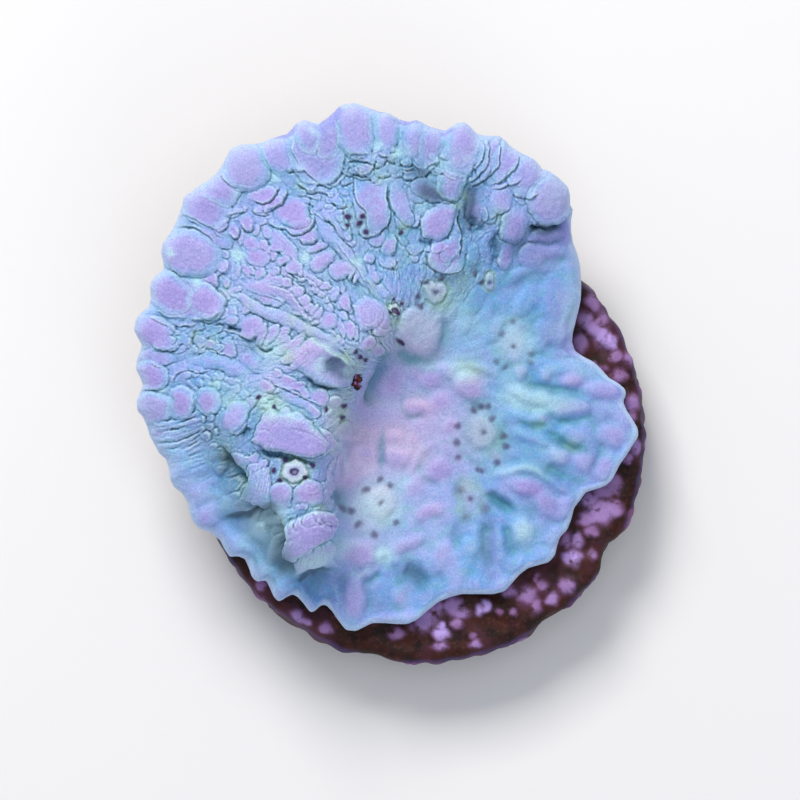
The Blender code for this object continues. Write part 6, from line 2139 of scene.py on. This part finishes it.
# %% Places of the crusts
# Place in the photograph, size in millimetres, and how light the crust is
CRUST_SPOTS = [
    (596, 300, 0.9, 0.35), (606, 314, 0.8, 0.3), (586, 320, 0.7, 0.45), (594, 328, 0.7, 0.55),
    (602, 336, 0.7, 0.75), (610, 342, 0.6, 0.8), (580, 343, 0.8, 0.35), (616, 356, 0.6, 0.3),
    (619, 376, 0.7, 0.35), (632, 404, 0.7, 0.4), (628, 418, 0.6, 0.35), (636, 446, 0.6, 0.5),
    (629, 458, 0.5, 0.4), (590, 499, 0.75, 0.45), (604, 492, 0.8, 0.4), (614, 484, 0.7, 0.35),
    (601, 512, 0.9, 0.5), (613, 510, 0.7, 0.45), (588, 520, 0.7, 0.4), (576, 541, 0.5, 0.5),
    (592, 532, 0.6, 0.3), (573, 558, 0.6, 0.85), (594, 554, 0.6, 0.4), (566, 540, 0.5, 0.3),
    (567, 586, 0.6, 0.4), (553, 600, 0.65, 0.5), (527, 596, 0.65, 0.4), (536, 606, 0.6, 0.35),
    (542, 586, 0.5, 0.3), (510, 591, 0.5, 0.4), (480, 611, 0.5, 0.9), (486, 606, 0.5, 0.9),
    (441, 627, 0.55, 1), (441, 634, 0.55, 1), (441, 646, 0.5, 0.5), (476, 645, 0.5, 0.5),
    (423, 619, 0.85, 0.55), (437, 606, 0.8, 0.5), (452, 606, 0.8, 0.5), (461, 613, 0.6, 0.45),
    (457, 624, 0.5, 0.35), (396, 633, 0.5, 0.3), (297, 619, 0.55, 0.6), (305, 624, 0.5, 0.5),
    (326, 629, 0.55, 0.35), (472, 636, 0.4, 0.3), (262, 585, 0.5, 0.3),
]
SIDE_SPOTS = 90
TOP_SPOTS = 40
DISC_RADIUS = 16
FLAT_RADIUS = 15.4
crust_places = []
for across, down, size, light in CRUST_SPOTS:
    crust_places.append((*place(across, down, 0.0), DISC_TOP, 1.25 * size, light))
crust_chance = np.random.default_rng(7)
for _ in range(SIDE_SPOTS):
    turn = crust_chance.uniform(0, 2 * math.pi)
    x, y = DISC_RADIUS * math.cos(turn), DISC_RADIUS * math.sin(turn)
    height = crust_chance.uniform(0.4, 6.2)
    size = crust_chance.uniform(0.35, 1.0)
    crust_places.append((x, y, height, size, crust_chance.uniform(0, 0.5)))
for _ in range(TOP_SPOTS):
    turn = crust_chance.uniform(0, 2 * math.pi)
    away = FLAT_RADIUS * math.sqrt(crust_chance.uniform(0.3, 1))
    x, y = away * math.cos(turn), away * math.sin(turn)
    size = crust_chance.uniform(0.2, 0.5)
    crust_places.append((x, y, DISC_TOP, size, crust_chance.uniform(0, 0.3)))
print(len(crust_places), "crusts")

# %% [markdown]
# Where crusts meet, the higher one wins. A sum of waves in space makes the film's lumps, a
# few millimetres long, and shorter waves bend the crusts' outlines. All of it is kept thin,
# so the disc's size stays that of its solid.

# %% Crusts and pores on the disc
OUTLINE_BEND = 0.11
FILM_SUNK = -0.22
SIDE_OUT = 0.24
LUMP_RISE = 0.12
CRUST_RISE = 0.16
SIDE_LIMIT = 0.26
flat_points = disc_web.reshape(-1, 3)


def waves(longest, shortest, count):
    """Smooth noise about -1 to 1 in space: a sum of waves between two lengths in millimetres."""
    total = np.zeros(len(flat_points))
    for k in range(count):
        way = crust_chance.normal(size=3)
        way *= 2 * math.pi / crust_chance.uniform(shortest, longest) / np.linalg.norm(way)
        total += np.sin(flat_points @ way + crust_chance.uniform(0, 2 * math.pi))
    return total / (1.6 * total.std())


wobble = waves(4.5, 1.2, 26)
bend = np.stack([waves(1.6, 0.7, 12), waves(1.6, 0.7, 12), waves(1.6, 0.7, 12)], axis=1)
bent_points = flat_points + OUTLINE_BEND * bend
crust = np.zeros(len(flat_points))
light = np.zeros(len(flat_points))
weight = np.full(len(flat_points), 1e-9)
for x, y, z, size, spot_light in crust_places:
    stretch = crust_chance.uniform(0.75, 1.3, 3)
    near = np.linalg.norm((bent_points - (x, y, z)) * stretch, axis=1) / size
    spot = np.exp(-1.9 * near**2)
    light += spot_light * spot**2
    weight += spot**2
    crust = np.maximum(crust, spot)
light /= weight
disc_normal = face_out(disc_web).reshape(-1, 3)
underneath = smooth_step(-flat_points[:, 2], -0.6, -0.1)
outwards = np.hypot(disc_normal[:, 0], disc_normal[:, 1])
lift = FILM_SUNK + SIDE_OUT * outwards + LUMP_RISE * wobble + CRUST_RISE * crust
lift *= 1 - underneath
most_lift = (SIDE_LIMIT * outwards - 0.01) * (1 - underneath)
disc_final = flat_points + disc_normal * np.minimum(lift, most_lift)[:, None]
disc_final[:, 2] = np.maximum(disc_final[:, 2], 0)
# Painted light: a violet fringe of light round the disc's top edge.
brim_light_fringe = smooth_step(np.hypot(flat_points[:, 0], flat_points[:, 1]), 15.75, 16.05)
brim_light_fringe *= smooth_step(flat_points[:, 2], 5.2, 6.3)
disc_numbers = np.arange(len(flat_points)).reshape(disc_web.shape[:2])
disc_faces = quads(disc_numbers, True)
disc_faces.append([int(n) for n in disc_numbers[:, 0]])
disc_faces.append([int(n) for n in disc_numbers[:, -1]][::-1])
disc_values = {
    "crust": crust, "light": light * np.clip(1.3 * crust, 0, 1), "bare": underneath, "brim_light_fringe": brim_light_fringe,
}
disc_piece = add_mesh("frag_disc_crusted", disc_final, disc_faces, None, disc_values)

# %% [markdown]
# ## The crumb
#
# A dark red crumb of food or dirt lies in the cleft behind the snout-shaped block. It is a
# handful of rounded grains stuck together: balls whose radius swings a little with the
# direction, which is enough for something a millimetre long.

# %% Crumb mesh
CRUMB_PLACE = (356, 381)
CRUMB_SUNK = 0.35
GRAIN_BANDS = 16
GRAIN_SIDES = 24
# how far each grain lies to the back and to the right of the crumb's middle, and its radius
GRAINS = [
    (-0.4, 0.12, 0.24), (-0.1, -0.04, 0.32), (0.22, 0.02, 0.3), (0.46, -0.06, 0.2), (0.12, 0.24, 0.2),
]
crumb_x, crumb_y = spot_of(*CRUMB_PLACE)
crumb_z = float(form_height(np.float64(crumb_x), np.float64(crumb_y))) + DISC_TOP - CRUMB_SUNK
crumb_points, crumb_faces = [], []
for along, side, size in GRAINS:
    start = len(crumb_points)
    for i in range(GRAIN_BANDS + 1):
        for j in range(GRAIN_SIDES):
            up = math.pi * i / GRAIN_BANDS
            turn = 2 * math.pi * j / GRAIN_SIDES
            way = np.array([math.sin(up) * math.cos(turn), math.sin(up) * math.sin(turn), math.cos(up)])
            bump = 1 + 0.16 * math.sin(5 * way[0] + 9 * size * 7) * math.sin(6 * way[1] + 3 * size)
            bump += 0.1 * math.sin(9 * way[2])
            spot = way * size * bump
            x, y = crumb_x + side + spot[0], crumb_y + along + spot[1]
            crumb_points.append((x, y, crumb_z + spot[2]))
    for i in range(GRAIN_BANDS):
        for j in range(GRAIN_SIDES):
            a = start + i * GRAIN_SIDES + j
            b = start + i * GRAIN_SIDES + (j + 1) % GRAIN_SIDES
            crumb_faces.append([a, a + GRAIN_SIDES, b + GRAIN_SIDES, b])
crumb = add_mesh("crumb", np.array(crumb_points), crumb_faces, None, {})

# %% [markdown]
# ## Finishes
#
# One function turns a colour as read on a screen into the linear numbers that the renderer
# works with, and one adds a node with its settings and links. Every finish here is a base
# colour with coats over it, as a painter would lay glazes: each coat follows one or two
# masks, which are the meshes' named values or noises of a given size.

# %% Colour and node helpers
def linear(code):
    """A screen colour such as "#9fb4e8" as linear red, green, blue and full cover."""
    parts = [int(code[i : i + 2], 16) / 255 for i in (1, 3, 5)]
    bent = [p / 12.92 if p <= 0.04045 else ((p + 0.055) / 1.055) ** 2.4 for p in parts]
    return (*bent, 1.0)


def add_node(tree, kind, settings=None, **inputs):
    """Adds a node. An input is a value, or another node's output that is linked in; i0, i1
    and so on are inputs by number."""
    node = tree.nodes.new(kind)
    for name, value in (settings or {}).items():
        setattr(node, name, value)
    for name, value in inputs.items():
        numbered = name[0] == "i" and name[1:].isdigit()
        socket = node.inputs[int(name[1:]) if numbered else name.replace("_", " ")]
        if isinstance(value, bpy.types.NodeSocket):
            tree.links.new(value, socket)
        else:
            socket.default_value = value
    return node

# %% [markdown]
# A finish starts with its masks. The meshes' named values say where something is, and
# noises break up what would else be even. Their sizes are real millimetres.

# %% Start a finish
def new_material(name, values=(), noises=None):
    """An empty material, its tree, and its masks: mesh values by name, and noises by size."""
    material = bpy.data.materials.new(name)
    material.use_nodes = True
    tree = material.node_tree
    tree.nodes.clear()
    masks = {}
    for label in values:
        node = add_node(tree, "ShaderNodeAttribute", {"attribute_name": label})
        masks[label] = node.outputs["Fac"]
    where = add_node(tree, "ShaderNodeTexCoord").outputs["Object"]
    for label, (size, detail, roughness) in (noises or {}).items():
        node = add_node(
            tree, "ShaderNodeTexNoise", Vector=where, Scale=1 / (size * MM), Detail=detail,
            Roughness=roughness,
        )
        masks[label] = node.outputs["Fac"]
    return material, tree, masks

# %% [markdown]
# Coats could be mixed one by one in the node editor. As a list of colours, strengths and
# masks they read like a recipe, and one function mixes them all.

# %% Paint coats and close a finish
def paint(tree, masks, base, *coats):
    """Lays coats over a base colour. A coat is a colour, its strength and the masks it
    follows; a mask is its name and, to sharpen it, the two values it rises between."""
    colour = linear(base) if isinstance(base, str) else base
    for coat, strength, *follows in coats:
        cover = strength
        for label, *rise in follows:
            mask = masks[label]
            if rise:
                mask = add_node(
                    tree, "ShaderNodeMapRange", {"interpolation_type": "SMOOTHSTEP"}, Value=mask,
                    From_Min=rise[0], From_Max=rise[1],
                ).outputs["Result"]
            cover = add_node(
                tree, "ShaderNodeMath", {"operation": "MULTIPLY"}, i0=mask, i1=cover
            ).outputs["Value"]
        over = linear(coat) if isinstance(coat, str) else coat
        mix = add_node(tree, "ShaderNodeMix", {"data_type": "RGBA"}, i0=cover, i6=colour, i7=over)
        colour = mix.outputs[2]
    return colour


def surface(tree, grain=None, depth=0.0, strength=0.0, **settings):
    """The shader with its settings and a fine bump of a depth in millimetres, as the output."""
    if grain:
        height = add_node(tree, "ShaderNodeBump", Strength=strength, Distance=depth * MM, Height=grain)
        settings["Normal"] = height.outputs["Normal"]
    shader = add_node(tree, "ShaderNodeBsdfPrincipled", **settings)
    add_node(tree, "ShaderNodeOutputMaterial", Surface=shader.outputs["BSDF"])
    print("finish of", len(tree.nodes), "nodes")

# %% [markdown]
# Coral tissue is a film of cells over white limestone. It is wet but matte, its fluorescent
# pigments make the tops of the lobes lilac and their thin edges pale blue, helped by a
# painted highlight, and the valleys between keep a teal green, deepened by painted shade.
# The right side of the colony is bluer than the fan. A little sheen stands for the slime
# that softens every edge's shine.
#
# The coats go on in the order in which they hide one another: broad pigment first, then
# what the relief does to it, painted as light and shade, then the listed colours, some of
# them painted highlights, the polyps, and the rim's painted light and shade.

# %% Living tissue
TISSUE_NOISES = {
    # patches 3 mm across, the breadth of one lobe
    "patch": (3.0, 1.0, 0.5),
    # drifts of pigment 0.9 mm across, several to each lobe
    "drift": (0.9, 2.0, 0.5),
    # spots 0.35 mm across, a few to each scale
    "mottle": (0.35, 3.0, 0.6),
    # grain of 0.11 mm, the breadth of a pore of the skeleton below
    "grain": (0.11, 2.0, 0.6),
}
TISSUE_COATS = [
    # pigment
    ("#a0b4f4", 1.0, ("pink", 0.0, 0.5)),
    ("#74c6d6", 0.4, ("drift", 0.48, 0.68)),
    ("#b6a8ec", 1.0, ("pink", 0.4, 0.95)),
    ("#a492e0", 0.25, ("drift", 0.5, 0.28)),
    # violet tint, partly painted shade in the rim's gaps and on shaded slopes
    ("#9a92e2", 0.7, ("violet_and_painted_shade",)),
    # warm lilac-white, partly painted light on places left in shade
    ("#dcc0e0", 0.8, ("warm_and_painted_light",)),
    ("#b4c2f4", 0.2, ("patch", 0.35, 0.7)),
    ("#c6d0fa", 0.3, ("mottle", 0.45, 0.75)),
    # what the relief does to it, mostly painted light and shade; the crowns' lilac is pigment
    # painted light on the swellings
    ("#ccccfa", 0.3, ("swell_light",)),
    # painted shade in broad hollows
    ("#5c88b8", 0.45, ("hollow_shade",)),
    # teal painted shade in the valleys
    ("#52a2ac", 0.42, ("valley_teal_shade",)),
    # teal tint, partly painted shade in low places
    ("#54a0ae", 0.7, ("teal_tint_and_shade",)),
    ("#a291dc", 0.45, ("crown", 0.5, 1.0), ("pink", 0.55, 1.0)),
    # painted highlight on free edges, partly the thin tissue's own paleness
    ("#d8f2fa", 0.75, ("edge",)),
    ("#42759a", 0.65, ("shade",)),
    ("#38405e", 0.6, ("shade", 0.5, 1.0)),
    # painted shade in the creases
    ("#20445a", 0.78, ("crease_shade",)),
    # glow, thin pale places partly painted as highlights, polyps, and the rim's painted light and shade
    ("#b8dca8", 0.5, ("glow",)),
    # pale tint, much of it painted highlights and painted light on shaded places
    ("#c4eef6", 0.75, ("pale_and_highlight",)),
    ("#d2e6ec", 1.0, ("eye",)),
    ("#43305c", 1.0, ("dot",)),
    # painted rim light along the margin
    ("#c6dcfc", 0.8, ("margin", 0.4, 1.0)),
    # painted shade in the rim's notches
    ("#8880da", 0.5, ("violet_and_painted_shade", 0.25, 0.7), ("margin", 0.1, 0.6)),
]
tissue, tree, masks = new_material("coral_tissue", (*ATTRIBUTES, "low", "margin"), TISSUE_NOISES)
colour = paint(tree, masks, "#6cb0f0", *TISSUE_COATS)
dark_grain = paint(tree, masks, "#dde2ec", ("#e2e6ee", 1.0, ("low",)))
grain_tone = paint(tree, masks, "#ffffff", (dark_grain, 1.0, ("grain", 0.36, 0.68)))
multiply = {"data_type": "RGBA", "blend_type": "MULTIPLY"}
colour = add_node(tree, "ShaderNodeMix", multiply, i0=1.0, i6=colour, i7=grain_tone).outputs[2]
surface(
    tree, masks["grain"], 0.03, 0.45, Base_Color=colour, Roughness=0.6, IOR=1.36, Metallic=0.0,
    Specular_IOR_Level=0.3, Sheen_Weight=0.3, Sheen_Roughness=0.4, Sheen_Tint=linear("#cfe2ff"),
)

# %% [markdown]
# The underside is bare coral limestone, a skeleton laid down crystal by crystal: off-white,
# dull and finely ribbed, stained a little by algae, with the living margin's colour turned
# round the lip. Limestone's refraction is near 1.5, and its pores take away all gloss.

# %% Bare skeleton and the turned lip
SKELETON_NOISES = {
    # stains 2.5 mm across, as algae spread
    "stain": (2.5, 3.0, 0.6),
    # pores 0.12 mm across
    "pores": (0.12, 2.0, 0.6),
}
skeleton, tree, masks = new_material("coral_skeleton", ("rib", "foot", "living"), SKELETON_NOISES)
stone = paint(
    tree, masks, "#c9bfa8",
    ("#8d8a78", 1.0, ("stain", 0.4, 0.7)),
    # painted shade in the grooves between the ribs
    ("#6c6657", 1.0, ("rib", 0.7, 0.1)),
    # darker towards the foot
    ("#5d4a48", 0.6, ("foot",)),
)
living = paint(tree, masks, "#8fb0e0", ("#a7a2e0", 1.0, ("stain", 0.4, 0.6)))
colour = paint(tree, masks, stone, (living, 1.0, ("living",)))
surface(
    tree, masks["pores"], 0.04, 0.6, Base_Color=colour, Roughness=0.75, IOR=1.5,
    Specular_IOR_Level=0.3,
)

# %% [markdown]
# The disc is cast, unglazed ceramic, which hardly shows any more. A near-black brown film
# covers it, and mauve coralline crusts grow on that, as chalky as eggshell. Its underside
# stayed cleaner and greyer. The crusts' edges are ragged, because a noise bites into them.
# A violet band round its top edge is a painted fringe of light.

# %% Crusted ceramic
CERAMIC_NOISES = {
    # blotches of the film, 1.6 mm across, and larger mauve patches in it
    "blotch": (1.6, 4.0, 0.6),
    "patches": (2.6, 3.0, 0.55),
    # specks 0.3 mm across, the grit of the casting
    "speck": (0.3, 3.0, 0.6),
    # bites 0.7 mm across in the crusts' edges
    "bites": (0.7, 4.0, 0.6),
}
ceramic, tree, masks = new_material(
    "frag_disc_crusted", ("crust", "light", "bare", "brim_light_fringe"), CERAMIC_NOISES
)
film = paint(
    tree, masks, "#180705",
    ("#3e170f", 1.0, ("blotch", 0.35, 0.65)),
    ("#74453f", 0.3, ("speck", 0.5, 0.75)),
    ("#53293a", 0.6, ("patches", 0.46, 0.66)),
    # painted violet fringe of light round the top edge
    ("#7464c4", 0.6, ("brim_light_fringe",)),
)
mauve = paint(
    tree, masks, "#7c4a74", ("#c6acf8", 1.0, ("light",)), ("#8a5478", 0.22, ("speck", 0.4, 0.7))
)
smooth = {"interpolation_type": "SMOOTHSTEP"}
ragged = add_node(tree, "ShaderNodeMapRange", smooth, Value=masks["bites"], From_Min=0.12, From_Max=0.6)
bitten = add_node(
    tree, "ShaderNodeMath", {"operation": "MULTIPLY"}, i0=masks["crust"], i1=ragged.outputs["Result"]
)
masks["bitten"] = bitten.outputs["Value"]
colour = paint(
    tree, masks, film, (mauve, 0.95, ("bitten", 0.06, 0.7)), ("#8f8578", 1.0, ("bare",))
)
surface(
    tree, masks["speck"], 0.06, 0.6, Base_Color=colour, Roughness=0.6, IOR=1.45,
    Specular_IOR_Level=0.3,
)

# %% [markdown]
# The crumb is a scrap of food or dirt: dark red, with a few lilac specks on it that are
# painted highlights. It is wet, so it shines a little more than what it lies on.

# %% Crumb finish
# red lies in lumps a quarter of a millimetre across, and painted lilac highlights a third, one to each
# grain
CRUMB_NOISES = {"lumps": (0.25, 2.0, 0.5), "glint_specks": (0.33, 2.0, 0.5)}
crumb_finish, tree, masks = new_material("crumb", (), CRUMB_NOISES)
colour = paint(
    tree, masks, "#24060c",
    ("#5a1620", 1.0, ("lumps", 0.4, 0.6)),
    # painted lilac highlights
    ("#9474b4", 1.0, ("glint_specks", 0.58, 0.66)),
)
surface(tree, Base_Color=colour, Roughness=0.5, IOR=1.4)

# %% [markdown]
# Both solids ride on the one body. The seven tissue meshes together take the place of the
# colony's solid and the crusted mesh that of the disc's, and the crumb is an extra.

# %% Give the finishes and tie the pieces to the frame
PIECES = [
    (tissue_fan_right, tissue, "coral_colony", "coral_tissue"),
    (tissue_fan_top, tissue, "coral_colony", "coral_tissue"),
    (tissue_fan_left, tissue, "coral_colony", "coral_tissue"),
    (tissue_margin_front, tissue, "coral_colony", "coral_tissue"),
    (tissue_margin_right, tissue, "coral_colony", "coral_tissue"),
    (tissue_bowl, tissue, "coral_colony", "coral_tissue"),
    (colony_underside, skeleton, "coral_colony", "coral_tissue"),
    (disc_piece, ceramic, "frag_disc", "frag_disc_ceramic"),
]
for piece, finish, node, slot in PIECES:
    piece.data.materials.append(finish)
    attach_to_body(piece, "root")
    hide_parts(node)
crumb.data.materials.append(crumb_finish)
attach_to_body(crumb, "root")
print(len(PIECES) + 1, "pieces ride on the body")

# %% [markdown]
# ## Floor, light and camera
#
# The part stands on a plain pale floor under soft studio light. The main light is a wide
# panel that leans over from the back, so the lobes shade the furrows in front of them, as
# in the photograph. The camera looks straight down. The floor is one large square, so
# that its edge never shows, in any view.

# %% Floor
floor_mesh = bpy.data.meshes.new("floor")
FLOOR_HALF = 0.6
corners = [(FLOOR_HALF * x, FLOOR_HALF * y, 0) for x, y in ((-1, -1), (1, -1), (1, 1), (-1, 1))]
floor_mesh.from_pydata(corners, [], [(0, 1, 2, 3)])
floor = bpy.data.objects.new("floor", floor_mesh)
bpy.context.scene.collection.objects.link(floor)
paper, tree, masks = new_material("studio_floor")
surface(tree, Base_Color=linear("#f2f2f4"), Roughness=0.9)
floor_mesh.materials.append(paper)
print("floor of", 2 * FLOOR_HALF, "metres")

# %% [markdown]
# Three square panels light the part. The key's slant draws the furrows, the top panel
# lifts the bowl, and the front one keeps the rim's near side from going black. Each is
# several times wider than the part, so the shadows are soft.

# %% Light
LIGHT_AIM = Vector((0, 0.003, 0.008))


def panel(name, place_at, width, watts, tone):
    """A square soft light that faces the part, in metres and watts."""
    lamp = bpy.data.lights.new(name, "AREA")
    lamp.shape = "SQUARE"
    lamp.size = width
    lamp.energy = watts
    lamp.color = linear(tone)[:3]
    thing = bpy.data.objects.new(name, lamp)
    thing.location = place_at
    thing.rotation_euler = (LIGHT_AIM - Vector(place_at)).to_track_quat("-Z", "Y").to_euler()
    bpy.context.scene.collection.objects.link(thing)


panel("key", (-0.10, 0.26, 0.30), 0.16, 1.28, "#fffaf4")
panel("top", (0.02, 0.02, 0.42), 0.22, 0.26, "#f4f8ff")
panel("front", (0.16, -0.34, 0.22), 0.3, 0.3, "#f2f6ff")
ROOM_LIGHT = 0.39
world = bpy.data.worlds.new("studio")
world.use_nodes = True
room = world.node_tree.nodes["Background"]
room.inputs["Color"].default_value = linear("#eef2f8")
room.inputs["Strength"].default_value = ROOM_LIGHT
bpy.context.scene.world = world
bpy.context.scene.view_settings.view_transform = "Standard"
print("lit by", len(bpy.data.lights), "panels")

# %% [markdown]
# A long lens far away shows the coral as the photograph does, with hardly any perspective.
# The picture is as wide as 800 photograph pixels at the disc's top.

# %% Camera
SENSOR = 36.0
PICTURE = 800 * PIXEL
lens = bpy.data.cameras.new("camera")
lens.sensor_width = SENSOR
lens.lens = SENSOR * CAMERA_AWAY / PICTURE
lens.clip_start = 0.01
lens.clip_end = 10
camera = bpy.data.objects.new("camera", lens)
camera.location = (VIEW_X * MM, VIEW_Y * MM, (DISC_TOP + CAMERA_AWAY) * MM)
bpy.context.scene.collection.objects.link(camera)
bpy.context.scene.camera = camera
print("lens of", round(lens.lens), "mm")
